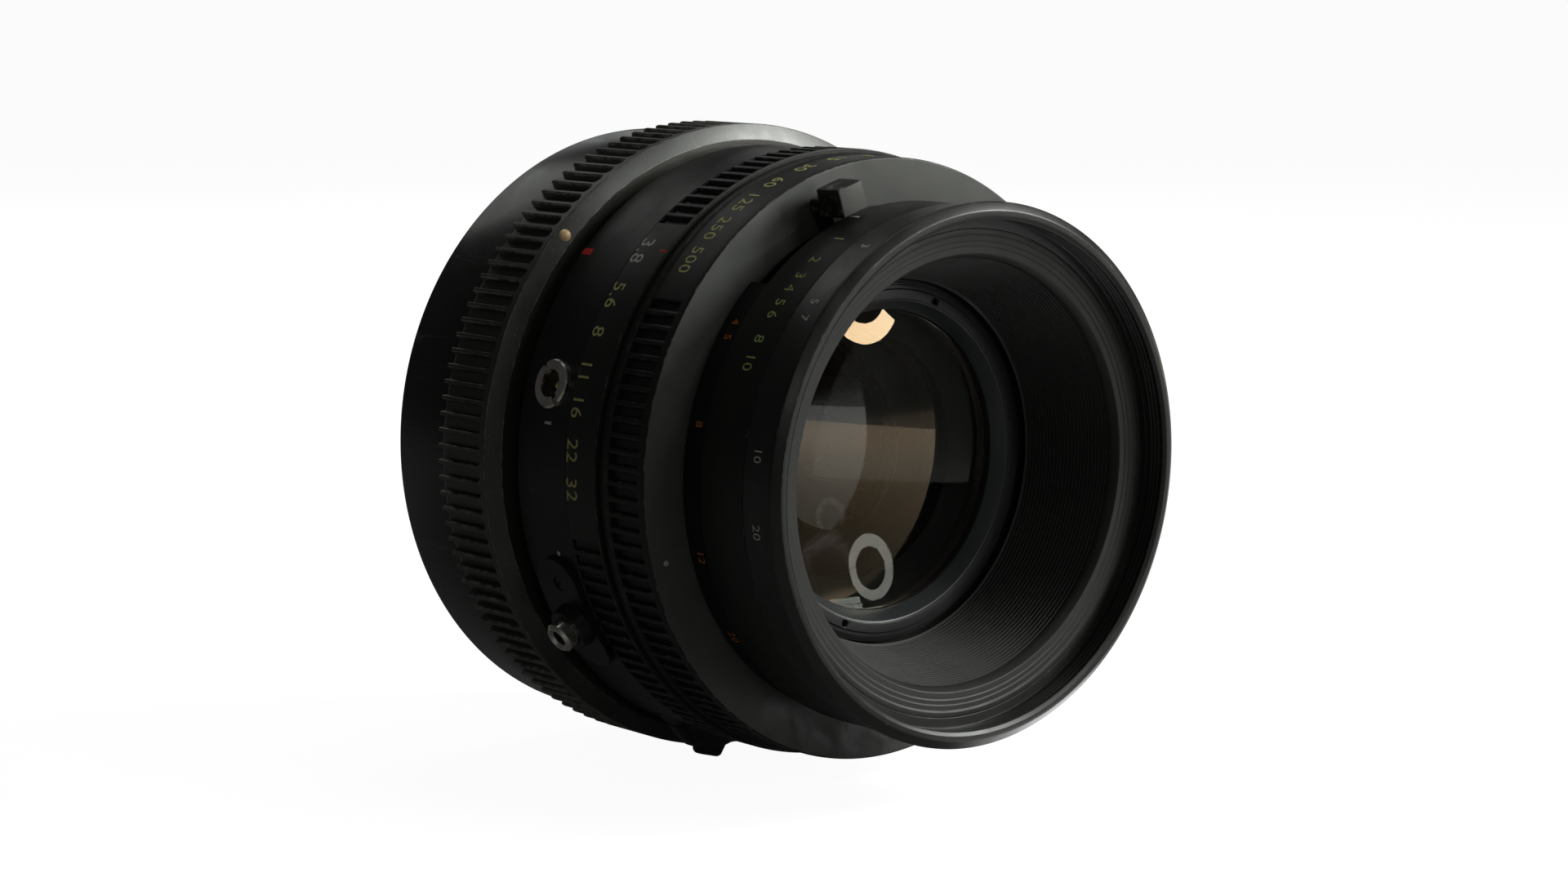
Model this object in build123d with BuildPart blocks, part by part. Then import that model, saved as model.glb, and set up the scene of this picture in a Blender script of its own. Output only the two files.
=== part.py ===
"""Medium format leaf shutter lens with its rear cap, built as separate named pieces.

Millimetres. The optical axis is X and the front glass faces +X. X is 0 on the rear
seating face, and Z is up as the lens lies on its side. Clock angles are degrees
about X, from +Y towards +Z: 90 is the top and 180 is the side with the sockets.
"""

from build123d import *
import math
import os

# Fits
RUNNING_GAP = 0.07
SEATED_GAP = 0.05
END_GAP = 0.3
REST_GAP = 0.02
OVERCUT = 1.0
TOUCH = 0.01

# Rear cap
CAP_REAR_X = -18.1
CAP_FRONT_X = -4.9
CAP_R = 48.7
CAP_WALL = 1.8
CAP_FLOOR = 2.0
CAP_BEVEL = 0.8
CAP_HUB_R = 42.9
CAP_HUB_WALL = 2.4
CAP_LUG_R = 45.6
CAP_LUG_ARC = 50.0

# Breech ring and its bayonet lugs
GRIP_REAR_X = -4.6
GRIP_EDGE_X = 7.85
GRIP_FRONT_X = 9.0
GRIP_R = 50.5
GRIP_FRONT_R = 48.0
GRIP_REAR_BEVEL = 0.4
GRIP_RIBS = 126
GRIP_GROOVE_WIDTH = 1.8
GRIP_GROOVE_DEPTH = 1.15
GRIP_GROOVE_END_X = 6.6
GRIP_GROOVE_CLOCK = 2.1
LUG_COUNT = 3
LUG_ROOT_R = 46.2
LUG_TIP_R = 43.4
LUG_THICKNESS = 2.0
RING_LUG_ARC = 54.0
DOT_CLOCK = 135.5
DOT_R = 0.95
DOT_RISE = 0.35
DOT_SINK = 0.25

# Mount flange and its screws
FLANGE_THICKNESS = 3.0
FLANGE_R = 45.9
FLANGE_BORE_R = 29.6
NECK_BORE_R = 34.0
SCREW_COUNT = 5
SCREW_PITCH_R = 41.0
SCREW_FIRST_CLOCK = 99.5
SCREW_R = 1.0
SCREW_HEAD_R = 1.9
SCREW_HEAD_REAR_X = 0.2
SCREW_HEAD_FRONT_X = 1.5
SCREW_END_X = 7.0
SCREW_CROSS = 2.4
SCREW_SLOT_WIDTH = 0.5
SCREW_SLOT_DEPTH = 0.6

# Main barrel
HUB_R = 43.9
WAIST_R = 44.9
WAIST_FRONT_X = 12.0
BARREL_R = 47.3
BARREL_STEP_X = 24.4
BARREL_BEVEL = 0.25
RING_SEAT_R = 43.6
RING_SEAT_FRONT_X = 40.8
TUBE_R = 38.0
TUBE_BORE_R = 36.0
CASE_BORE_R = 38.0
CASE_REAR_X = 8.2
CASE_FRONT_X = 20.0
SHOULDER_R = 34.0
SHOULDER_FRONT_X = 22.0

# Sockets and release pad, all centred at one station
SOCKET_X = 19.7
SYNC_CLOCK = 163.7
SYNC_DEPTH = 3.8
SYNC_R = 3.8
SYNC_BORE_R = 2.15
SYNC_CORE_THICKNESS = 1.4
SYNC_RISE = 1.2
SYNC_NOTCH_WIDTH = 0.9
SYNC_NOTCH_DEPTH = 0.7
SYNC_NOTCH_TURN = -50
SYNC_PIN_R = 0.5
SYNC_PIN_LENGTH = 2.6
RELEASE_CLOCK = 209.5
RELEASE_DEPTH = 4.8
RELEASE_R = 2.5
RELEASE_BORE_R = 1.3
RELEASE_FLOOR = 1.48
RELEASE_THREAD_LENGTH = 5.9
RELEASE_RISE = 5.1
RELEASE_BEVEL = 0.45
RELEASE_PIN_R = 0.7
RELEASE_PIN_LENGTH = 2.4
PAD_CLOCK = 208.0
PAD_LENGTH = 20.0
PAD_WIDTH = 9.6
PAD_MIDDLE_X = 19.2
PAD_THICKNESS = 1.03
PAD_COLLAR_R = 3.9
PAD_COLLAR_RISE = 1.85
PAD_COLLAR_TAPER = 9
PAD_SCREW_CLOCK = 200.8
PAD_SCREW_R = 0.8
PAD_SCREW_HEAD_R = 1.2
PAD_SCREW_HEAD_HEIGHT = 0.4
PAD_SCREW_SINK = 0.6
PAD_SCREW_LENGTH = 3.0
PAD_SCREW_TURN = 30
PAD_SCREW_SPARE = 0.4

# Time exposure lever
LEVER_CLOCK = 254.5
LEVER_REAR_X = 13.4
LEVER_FRONT_X = 18.6
LEVER_TRAVEL = 10.0
LEVER_PLATE_CLOCK = 252.0
LEVER_PLATE_ARC = 15.0
LEVER_PLATE_THICKNESS = 0.83
LEVER_STEM_ARC = 3.0
LEVER_STEM_WIDTH = 2.0
LEVER_STEM_DEPTH = 2.7
LEVER_STEM_CLEARANCE = 0.4
LEVER_SLOT_GAP = 0.1
LEVER_SLOT_SPARE_ARC = 1.0
KNOB_LENGTH = 6.6
KNOB_WIDTH = 4.2
KNOB_RISE = 2.9
KNOB_TAPER = 14
KNOB_ROUND = 0.9

# Aperture ring and its click stop
APERTURE_REAR_X = 24.7
APERTURE_FRONT_X = 32.0
APERTURE_R = 47.6
APERTURE_GROOVE_CLOCK = 0.7
APERTURE_RIBS_FROM = 190.5
APERTURE_RIBS_TO = 488.0
RING_RIBS = 122
RING_GROOVE_WIDTH = 1.55
RING_GROOVE_DEPTH = 0.8
RING_BEVEL = 0.35
BALL_R = 0.9
BALL_X = 28.4
BALL_CLOCK = 75.0
BALL_SEAT_DEPTH = 1.9
BALL_PROUD = 0.03
DIMPLE_DEPTH = 0.15
CLICK_FIRST = 11.25
CLICK_ANGLE = 3.75
CLICK_COUNT = 13

# Shutter speed ring
SPEED_REAR_X = 32.3
SPEED_FRONT_X = 42.6
SPEED_R = 46.7
SPEED_LEDGE_R = 46.95
SPEED_FACE_WALL = 1.5
SPEED_RIBS_REAR_X = 34.1
SPEED_RIBS_FRONT_X = 41.1
SPEED_GROOVE_CLOCK = 1.2
SPEED_RIBS_FROM = 144.0
SPEED_RIBS_TO = 416.0

# Fixed scale ring, rotating depth ring and preview lever
SCALE_REAR_X = 42.9
SCALE_FRONT_X = 47.5
SCALE_R = 39.5
DEPTH_REAR_X = 47.8
DEPTH_FRONT_X = 57.6
DEPTH_R = 40.4
DEPTH_BEVEL = 0.3
TAB_CLOCK = 107.5
TAB_WIDTH = 5.0
TAB_FRONT_X = 50.4
TAB_LIFT = 0.7
TAB_HEIGHT = 4.5
TAB_ROUND = 0.5
TAB_STEM_ARC = 5.5
PREVIEW_TRAVEL = 20.0
PREVIEW_RING_BORE_R = 33.6
PREVIEW_ARM_ARC = 9.0
PREVIEW_ARM_REAR_X = 24.6
PREVIEW_ARM_INSET = 0.3
PREVIEW_OVERLAP = 0.5
SLOT_ARC = 29.0

# Filter ring and light baffle
RIM_REAR_X = 57.9
RIM_STEP_X = 63.7
RIM_R = 41.2
RIM_BEVEL_X = 64.7
LIP_X = 65.7
LIP_OUTER_R = 39.9
LIP_INNER_R = 39.1
FRONT_R = 40.6
FILTER_THREAD_R = 38.5
THREAD_FRONT_X = 65.3
LEDGE_X = 61.6
RECESS_X = 60.6
RECESS_R = 37.0
SPIGOT_REAR_X = 52.2
SPIGOT_BORE_R = 34.6
CONE_MOUTH_X = 60.0
CONE_MOUTH_R = 32.6
CONE_THROAT_X = 45.1
CONE_THROAT_R = 28.2
CONE_WALL = 1.1
CONE_BACK_STEP = 0.4
BAFFLE_FLANGE_BORE_R = 33.2
BAFFLE_STEPS = ((1.1, 0.0), (1.3, 0.2), (2.2, 0.2), (2.4, 0.45))

# Front group
FRONT_CELL_REAR_X = 22.0
FRONT_CELL_FRONT_X = 43.85
CELL_R = 27.3
CELL_FLANGE = 2.0
CELL_LIGHT_R = 18.2
COLLAR_REAR_X = 41.5
COLLAR_FRONT_X = 43.0
COLLAR_R = 31.0
FRONT_GLASS_R = 25.0
FRONT_GLASS_REAR_X = 35.2
FRONT_GLASS_FRONT_X = 38.2
FRONT_GLASS_REAR_CURVE = 120.0
FRONT_GLASS_FRONT_CURVE = 62.0
FRONT_GLASS_SEAT_X = 34.2
SECOND_GLASS_R = 20.0
SECOND_GLASS_REAR_X = 25.0
SECOND_GLASS_FRONT_X = 31.8
SECOND_GLASS_REAR_CURVE = -90.0
SECOND_GLASS_FRONT_CURVE = -110.0
SPACER_BORE_R = 18.8
SPACER_R = 23.8
SPACER_FRONT_WALL = 1.2
SPACER_CLEARANCE = 0.35
RETAINER_REAR_X = 39.0
RETAINER_FRONT_X = 44.5
RETAINER_FLANGE_X = 43.9
RETAINER_BORE_R = 23.4
RETAINER_BODY_R = 26.6
RETAINER_STEP = 0.1
RETAINER_RIDGE_R = 25.2
RETAINER_BEVEL_R = 24.35
RETAINER_LIP_R = 23.85
PIN_HOLE_R = 0.6
PIN_HOLE_PITCH_R = 25.9
PIN_HOLE_CLOCK = 249.0
PIN_HOLE_DEPTH = 1.6

# Rear group
REAR_CELL_REAR_X = -8.6
REAR_CELL_R = 27.5
REAR_CELL_WALL_X = 7.0
REAR_LIGHT_R = 16.2
REAR_LIGHT_FLARE = 0.6
REAR_GLASS_R = 22.0
REAR_SEAT_X = -5.3
REAR_RETAINER_R = 24.5
REAR_RETAINER_BORE_R = 20.5
REAR_RETAINER_FLARE = 0.3
REAR_RETAINER_FLARE_DEPTH = 0.7
REAR_RETAINER_PITCH_R = 22.6
REAR_SLOT_LENGTH = 5.0
REAR_SLOT_WIDTH = 1.2
REAR_SLOT_DEPTH = 1.0
THIRD_GLASS_REAR_X = 2.4
THIRD_GLASS_FRONT_X = 6.5
THIRD_GLASS_REAR_CURVE = -110.0
THIRD_GLASS_FRONT_CURVE = 400.0
REAR_GLASS_REAR_X = -4.9
REAR_GLASS_FRONT_X = -3.4
REAR_GLASS_REAR_CURVE = 80.0
REAR_GLASS_FRONT_CURVE = 60.0
REAR_SPACER_REAR_X = -2.85
REAR_SPACER_FRONT_X = 2.35
REAR_SPACER_WALL = 1.0

# Shutter and iris
BLADE_COUNT = 5
BLADE_THICKNESS = 0.2
BLADE_SPACING = 0.5
BLADE_ARC = 76.0
BLADE_TAB_R = 1.8
BLADE_CLEARANCE = 0.1
LIGHT_R = 15.6
POST_R = 0.8
CASE_WALL_R = 33.5
CASE_FLOOR = 1.4
IRIS_PIVOT_R = 23.5
IRIS_EDGE_R = 21.9
IRIS_FIRST_X = 10.0
IRIS_FIRST_CLOCK = 36.0
DIVIDER_X = 12.7
DIVIDER_THICKNESS = 0.5
SHUTTER_PIVOT_R = 27.0
SHUTTER_EDGE_R = 25.4
SHUTTER_FIRST_X = 13.6
COVER_X = 16.4
COVER_THICKNESS = 1.2
COCKING_R = 32.4
COCKING_TRAVEL = 50.0
COCKING_SLOT_ARC = 60.0
COCKING_SLOT_HALF = 1.35
COCKING_PIN_R = 1.2
COCKING_PIN_END_X = -3.0
COCKING_RING_BORE_R = 30.8
COCKING_RING_R = 33.7


def save(piece, name):
    """Label a finished piece and write it to the parts folder."""
    piece.part.label = name
    export_step(piece.part, f"parts/{name}.step")


def polar(radius, clock):
    """A point of the YZ plane from a radius and a clock angle in degrees."""
    angle = math.radians(clock)
    return radius * math.cos(angle), radius * math.sin(angle)


def radial_plane(x, radius, clock):
    """A plane that faces outwards at a station and clock angle, its own X along the axis."""
    y, z = polar(1.0, clock)
    return Plane(origin=(x, radius * y, radius * z), x_dir=(1, 0, 0), z_dir=(0, y, z))


def above(shapes, clock, radius):
    """Those of the shapes whose centre stands at a radius or further out, along a clock angle."""
    outward = radial_plane(0, 0, clock).z_dir
    return ShapeList([shape for shape in shapes if shape.center().dot(outward) > radius - TOUCH])


def tube(rear_x, front_x, inner_r, outer_r):
    """A plain round tube between two stations."""
    with BuildPart() as body:
        with BuildSketch(Plane.YZ.offset(rear_x)):
            Circle(outer_r)
            Circle(inner_r, mode=Mode.SUBTRACT)
        extrude(amount=front_x - rear_x)
    return body


def sector(rear_x, front_x, inner_r, outer_r, clock, arc):
    """Part of a tube, centred on a clock angle."""
    start = clock - arc / 2
    end = clock + arc / 2
    with BuildPart() as body:
        with BuildSketch(Plane.YZ.offset(rear_x)):
            with BuildLine():
                far = ThreePointArc(polar(outer_r, start), polar(outer_r, clock), polar(outer_r, end))
                near = ThreePointArc(polar(inner_r, start), polar(inner_r, clock), polar(inner_r, end))
                Line(far @ 0, near @ 0)
                Line(far @ 1, near @ 1)
            make_face()
        extrude(amount=front_x - rear_x)
    return body


def around(piece, count, clock=0.0):
    """Copies of a piece at every place of a full circle of count."""
    return [piece.part.rotate(Axis.X, clock + 360 / count * number) for number in range(count)]


def groove(rear_x, front_x, width, radius, depth, rounded):
    """The space of one rib groove at clock angle 0, rounded at its front where asked."""
    run_out = width / 2 if rounded else 0.0
    with BuildPart() as space:
        with BuildSketch(radial_plane(rear_x, radius - depth, 0)):
            Rectangle(front_x - run_out - rear_x, width, align=(Align.MIN, Align.CENTER))
            if rounded:
                with Locations((front_x - run_out - rear_x, 0)):
                    Circle(run_out)
        extrude(amount=2 * depth)
    return space


def grooves(space, count, phase, first_clock, last_clock):
    """Copies of a groove space at the places of a full circle that lie between two clock angles."""
    pitch = 360 / count
    first = math.ceil((first_clock - phase) / pitch)
    last = math.floor((last_clock - phase) / pitch)
    return [space.part.rotate(Axis.X, phase + pitch * number) for number in range(first, last + 1)]


def sag(curve, radius):
    """How far a spherical surface falls away at a radius; hollow curves are negative."""
    return math.copysign(abs(curve) - math.sqrt(curve * curve - radius * radius), curve)


def lens_glass(rear_x, front_x, radius, rear_curve, front_curve):
    """A glass between two spherical faces, from its edge stations; negative curves are hollow."""
    front_pole = front_x + sag(front_curve, radius)
    rear_pole = rear_x - sag(rear_curve, radius)
    front_middle = (front_pole - sag(front_curve, radius / 2), radius / 2)
    rear_middle = (rear_pole + sag(rear_curve, radius / 2), radius / 2)
    with BuildPart() as glass:
        with BuildSketch(Plane.XZ):
            with BuildLine():
                front = ThreePointArc((front_pole, 0), front_middle, (front_x, radius))
                rear = ThreePointArc((rear_pole, 0), rear_middle, (rear_x, radius))
                Line(front @ 1, rear @ 1)
                Line(front @ 0, rear @ 0)
            make_face()
        revolve(axis=Axis.X)
    return glass


def crescent_blade(first_x, level, pivot_r, edge_r, clock):
    """A thin blade parked round the light path, with the hole of its pivot at a clock angle."""
    inner_r = LIGHT_R + BLADE_CLEARANCE
    stops = (clock, clock + BLADE_ARC / 2, clock + BLADE_ARC)
    with BuildPart() as blade:
        with BuildSketch(Plane.YZ.offset(first_x + BLADE_SPACING * level)):
            with BuildLine():
                far = ThreePointArc(*[polar(edge_r, stop) for stop in stops])
                near = ThreePointArc(*[polar(inner_r, stop) for stop in stops])
                Line(far @ 0, near @ 0)
                Line(far @ 1, near @ 1)
            make_face()
            with PolarLocations(pivot_r, 1, start_angle=clock):
                Circle(BLADE_TAB_R)
                Rectangle(pivot_r - edge_r + BLADE_TAB_R, 2 * BLADE_TAB_R, align=(Align.MAX, Align.CENTER))
                Circle(POST_R + RUNNING_GAP, mode=Mode.SUBTRACT)
        extrude(amount=BLADE_THICKNESS)
    return blade


os.makedirs("parts", exist_ok=True)

# Rear cap: a floor and a skirt
cap_floor_x = CAP_REAR_X + CAP_FLOOR
with BuildPart() as rear_cap:
    with BuildSketch(Plane.YZ.offset(CAP_REAR_X)):
        Circle(CAP_R)
    extrude(amount=CAP_FLOOR)
    with BuildSketch(Plane.YZ.offset(cap_floor_x)):
        Circle(CAP_R)
        Circle(CAP_R - CAP_WALL, mode=Mode.SUBTRACT)
    extrude(amount=CAP_FRONT_X - cap_floor_x)
    widest = rear_cap.edges().filter_by(GeomType.CIRCLE).group_by(SortBy.RADIUS)[-1]
    chamfer(widest.sort_by(Axis.X)[0], length=CAP_BEVEL)
save(rear_cap, "rear_cap")

# Inner ring of the cap, with the three outward lugs that hold it in the breech ring
cap_hub_tube = tube(cap_floor_x + REST_GAP, -SEATED_GAP, CAP_HUB_R - CAP_HUB_WALL, CAP_HUB_R)
cap_lug = sector(-END_GAP - LUG_THICKNESS, -END_GAP, CAP_HUB_R - CAP_HUB_WALL / 2, CAP_LUG_R, 0, CAP_LUG_ARC)
with BuildPart() as cap_hub:
    add(cap_hub_tube.part)
    add(around(cap_lug, LUG_COUNT, DOT_CLOCK + 180 / LUG_COUNT))
save(cap_hub, "cap_hub")

# Alignment dot: a domed spot let into the bevel of the breech ring
dot_slope = math.atan2(GRIP_R - GRIP_FRONT_R, GRIP_FRONT_X - GRIP_EDGE_X)
dot_middle_x = (GRIP_EDGE_X + GRIP_FRONT_X) / 2
dot_middle_y, dot_middle_z = polar((GRIP_R + GRIP_FRONT_R) / 2, DOT_CLOCK)
dot_out_y, dot_out_z = polar(math.cos(dot_slope), DOT_CLOCK)
dot_plane = Plane(
    origin=(dot_middle_x, dot_middle_y, dot_middle_z),
    x_dir=(0, -dot_out_z, dot_out_y),
    z_dir=(math.sin(dot_slope), dot_out_y, dot_out_z),
)
dot_ball_r = (DOT_R * DOT_R + DOT_RISE * DOT_RISE) / (2 * DOT_RISE)
with BuildPart() as alignment_dot:
    with BuildSketch(dot_plane.offset(-DOT_SINK)):
        Circle(DOT_R)
    extrude(amount=DOT_SINK + DOT_RISE)
    with Locations(dot_plane.offset(DOT_RISE - dot_ball_r)):
        Sphere(dot_ball_r, mode=Mode.INTERSECT)
save(alignment_dot, "alignment_dot")

# Breech ring: grooved grip, bevelled front and three inward lugs
grip_shoulder_x = FLANGE_THICKNESS + END_GAP
grip_groove = groove(
    GRIP_REAR_X - GRIP_GROOVE_WIDTH, GRIP_GROOVE_END_X, GRIP_GROOVE_WIDTH, GRIP_R, GRIP_GROOVE_DEPTH, True
)
ring_lug = sector(GRIP_REAR_X, GRIP_REAR_X + LUG_THICKNESS, LUG_TIP_R, LUG_ROOT_R + OVERCUT, 0, RING_LUG_ARC)
with BuildPart() as bayonet_ring:
    with BuildSketch(Plane.XZ):
        with BuildLine():
            Polyline(
                (GRIP_REAR_X, LUG_ROOT_R),
                (GRIP_REAR_X, GRIP_R - GRIP_REAR_BEVEL),
                (GRIP_REAR_X + GRIP_REAR_BEVEL, GRIP_R),
                (GRIP_EDGE_X, GRIP_R),
                (GRIP_FRONT_X, GRIP_FRONT_R),
                (GRIP_FRONT_X, HUB_R + RUNNING_GAP),
                (grip_shoulder_x, HUB_R + RUNNING_GAP),
                (grip_shoulder_x, LUG_ROOT_R),
                close=True,
            )
        make_face()
    revolve(axis=Axis.X)
    add(around(grip_groove, GRIP_RIBS, GRIP_GROOVE_CLOCK), mode=Mode.SUBTRACT)
    add(around(ring_lug, LUG_COUNT, DOT_CLOCK))
    with BuildSketch(dot_plane.offset(-DOT_SINK)):
        Circle(DOT_R + SEATED_GAP)
    extrude(amount=OVERCUT, mode=Mode.SUBTRACT)
save(bayonet_ring, "bayonet_ring")

# Mount flange: seating disc and neck, arc slots for the cocking pins, holes for the screws
cocking_slot = sector(
    -OVERCUT, FLANGE_THICKNESS + OVERCUT, COCKING_R - COCKING_SLOT_HALF, COCKING_R + COCKING_SLOT_HALF,
    COCKING_TRAVEL / 2, COCKING_SLOT_ARC,
)
with BuildPart() as mount_flange:
    with BuildSketch(Plane.YZ):
        Circle(FLANGE_R)
        Circle(FLANGE_BORE_R, mode=Mode.SUBTRACT)
    extrude(amount=FLANGE_THICKNESS)
    with BuildSketch(Plane.YZ.offset(FLANGE_THICKNESS)):
        Circle(CASE_BORE_R - SEATED_GAP)
        Circle(NECK_BORE_R, mode=Mode.SUBTRACT)
    extrude(amount=CASE_REAR_X - FLANGE_THICKNESS)
    add(around(cocking_slot, 2), mode=Mode.SUBTRACT)
    with Locations(Plane.YZ):
        with PolarLocations(SCREW_PITCH_R, SCREW_COUNT, start_angle=SCREW_FIRST_CLOCK):
            Cylinder(SCREW_R + SEATED_GAP, 4 * FLANGE_THICKNESS, mode=Mode.SUBTRACT)
            Cylinder(SCREW_HEAD_R + SEATED_GAP, 2 * SCREW_HEAD_FRONT_X, mode=Mode.SUBTRACT)
save(mount_flange, "mount_flange")

# Five cross-slotted screws that hold the flange to the barrel, heads below the seat
for number in range(SCREW_COUNT):
    screw_y, screw_z = polar(SCREW_PITCH_R, SCREW_FIRST_CLOCK + 360 / SCREW_COUNT * number)
    head_plane = Plane(origin=(SCREW_HEAD_REAR_X, screw_y, screw_z), x_dir=(0, 1, 0), z_dir=(1, 0, 0))
    with BuildPart() as mount_screw:
        with BuildSketch(head_plane):
            Circle(SCREW_HEAD_R)
        extrude(amount=SCREW_HEAD_FRONT_X - SCREW_HEAD_REAR_X)
        with BuildSketch(head_plane):
            Circle(SCREW_R)
        extrude(amount=SCREW_END_X - SCREW_HEAD_REAR_X)
        with BuildSketch(head_plane):
            Rectangle(SCREW_CROSS, SCREW_SLOT_WIDTH)
            Rectangle(SCREW_SLOT_WIDTH, SCREW_CROSS)
        extrude(amount=SCREW_SLOT_DEPTH, mode=Mode.SUBTRACT)
    save(mount_screw, f"mount_screw_{number + 1}")

# Main barrel: hub for the breech ring, side wall with its sockets, ring seats and front tube
slot_clock = TAB_CLOCK + PREVIEW_TRAVEL / 2
stem_slot = sector(
    SCALE_REAR_X, SCALE_FRONT_X, TUBE_BORE_R - OVERCUT, TUBE_R + OVERCUT, slot_clock, SLOT_ARC
)
lever_slot_arc = 2 * LEVER_TRAVEL + LEVER_STEM_ARC + LEVER_SLOT_SPARE_ARC
lever_middle_x = (LEVER_REAR_X + LEVER_FRONT_X) / 2
lever_stem_rear_x = lever_middle_x - LEVER_STEM_WIDTH / 2
lever_stem_front_x = lever_middle_x + LEVER_STEM_WIDTH / 2
lever_stem_foot_r = BARREL_R - LEVER_STEM_DEPTH
lever_slot = sector(
    lever_stem_rear_x - LEVER_SLOT_GAP, lever_stem_front_x + LEVER_SLOT_GAP,
    lever_stem_foot_r - LEVER_STEM_CLEARANCE, BARREL_R + OVERCUT, LEVER_PLATE_CLOCK, lever_slot_arc,
)
sync_seat_r = BARREL_R - SYNC_DEPTH
release_seat_r = BARREL_R - RELEASE_DEPTH
pad_top_r = BARREL_R + REST_GAP + PAD_THICKNESS
pad_head_r = pad_top_r - PAD_SCREW_SINK
pad_screw_floor_r = pad_head_r - PAD_SCREW_LENGTH - PAD_SCREW_SPARE
ball_middle_r = RING_SEAT_R + BALL_PROUD - BALL_R
with BuildPart() as main_barrel:
    with BuildSketch(Plane.XZ):
        with BuildLine():
            Polyline(
                (FLANGE_THICKNESS, CASE_BORE_R),
                (FLANGE_THICKNESS, HUB_R),
                (GRIP_FRONT_X + END_GAP, HUB_R),
                (GRIP_FRONT_X + END_GAP, WAIST_R),
                (WAIST_FRONT_X, WAIST_R),
                (WAIST_FRONT_X, BARREL_R - BARREL_BEVEL),
                (WAIST_FRONT_X + BARREL_BEVEL, BARREL_R),
                (BARREL_STEP_X - BARREL_BEVEL, BARREL_R),
                (BARREL_STEP_X, BARREL_R - BARREL_BEVEL),
                (BARREL_STEP_X, RING_SEAT_R),
                (RING_SEAT_FRONT_X, RING_SEAT_R),
                (RING_SEAT_FRONT_X, TUBE_R),
                (DEPTH_FRONT_X, TUBE_R),
                (DEPTH_FRONT_X, TUBE_BORE_R),
                (SHOULDER_FRONT_X, TUBE_BORE_R),
                (SHOULDER_FRONT_X, SHOULDER_R),
                (CASE_FRONT_X, SHOULDER_R),
                (CASE_FRONT_X, CASE_BORE_R),
                close=True,
            )
        make_face()
    revolve(axis=Axis.X)
    add([stem_slot.part, lever_slot.part], mode=Mode.SUBTRACT)
    with BuildSketch(radial_plane(SOCKET_X, sync_seat_r, SYNC_CLOCK)):
        Circle(SYNC_R + SEATED_GAP)
    extrude(amount=SYNC_DEPTH + OVERCUT, mode=Mode.SUBTRACT)
    with BuildSketch(radial_plane(SOCKET_X, release_seat_r, RELEASE_CLOCK)):
        Circle(RELEASE_R + SEATED_GAP)
    extrude(amount=RELEASE_DEPTH + OVERCUT, mode=Mode.SUBTRACT)
    with BuildSketch(radial_plane(SOCKET_X, pad_screw_floor_r, PAD_SCREW_CLOCK)):
        Circle(PAD_SCREW_R + SEATED_GAP)
    extrude(amount=BARREL_R - pad_screw_floor_r + OVERCUT, mode=Mode.SUBTRACT)
    with BuildSketch(radial_plane(BALL_X, RING_SEAT_R - BALL_SEAT_DEPTH, BALL_CLOCK)):
        Circle(BALL_R + SEATED_GAP)
    extrude(amount=BALL_SEAT_DEPTH + OVERCUT, mode=Mode.SUBTRACT)
    with BuildSketch(Plane.YZ.offset(FLANGE_THICKNESS)):
        with PolarLocations(SCREW_PITCH_R, SCREW_COUNT, start_angle=SCREW_FIRST_CLOCK):
            Circle(SCREW_R + SEATED_GAP)
    extrude(amount=SCREW_END_X - FLANGE_THICKNESS + END_GAP, mode=Mode.SUBTRACT)
save(main_barrel, "main_barrel")

# Flash socket: insulator at the bottom, silver collar with two notches, centre contact
sync_foot_r = sync_seat_r + REST_GAP
sync_sleeve_foot_r = sync_foot_r + SYNC_CORE_THICKNESS
sync_top_r = BARREL_R + SYNC_RISE
with BuildPart() as sync_core:
    with BuildSketch(radial_plane(SOCKET_X, sync_foot_r, SYNC_CLOCK)):
        Circle(SYNC_R)
    extrude(amount=SYNC_CORE_THICKNESS)
    with BuildSketch(radial_plane(SOCKET_X, sync_sleeve_foot_r, SYNC_CLOCK)):
        Circle(SYNC_BORE_R - SEATED_GAP)
    extrude(amount=SYNC_NOTCH_WIDTH)
    with BuildSketch(radial_plane(SOCKET_X, sync_sleeve_foot_r - SYNC_PIN_R, SYNC_CLOCK)):
        Circle(SYNC_PIN_R + SEATED_GAP)
    extrude(amount=SYNC_CORE_THICKNESS + SYNC_PIN_R, mode=Mode.SUBTRACT)
save(sync_core, "sync_core")

with BuildPart() as sync_sleeve:
    with BuildSketch(radial_plane(SOCKET_X, sync_sleeve_foot_r, SYNC_CLOCK)):
        Circle(SYNC_R)
        Circle(SYNC_BORE_R, mode=Mode.SUBTRACT)
    extrude(amount=sync_top_r - sync_sleeve_foot_r)
    sync_rims = above(sync_sleeve.edges().filter_by(GeomType.CIRCLE), SYNC_CLOCK, sync_top_r)
    chamfer(sync_rims.sort_by(SortBy.RADIUS)[-1], length=BARREL_BEVEL)
    with BuildSketch(radial_plane(SOCKET_X, sync_top_r - SYNC_NOTCH_DEPTH, SYNC_CLOCK)):
        Rectangle(3 * SYNC_R, SYNC_NOTCH_WIDTH, rotation=SYNC_NOTCH_TURN)
    extrude(amount=OVERCUT, mode=Mode.SUBTRACT)
save(sync_sleeve, "sync_sleeve")

with BuildPart() as sync_pin:
    with BuildSketch(radial_plane(SOCKET_X, sync_sleeve_foot_r - SYNC_PIN_R, SYNC_CLOCK)):
        Circle(SYNC_PIN_R)
    extrude(amount=SYNC_PIN_LENGTH)
save(sync_pin, "sync_pin")

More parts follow.
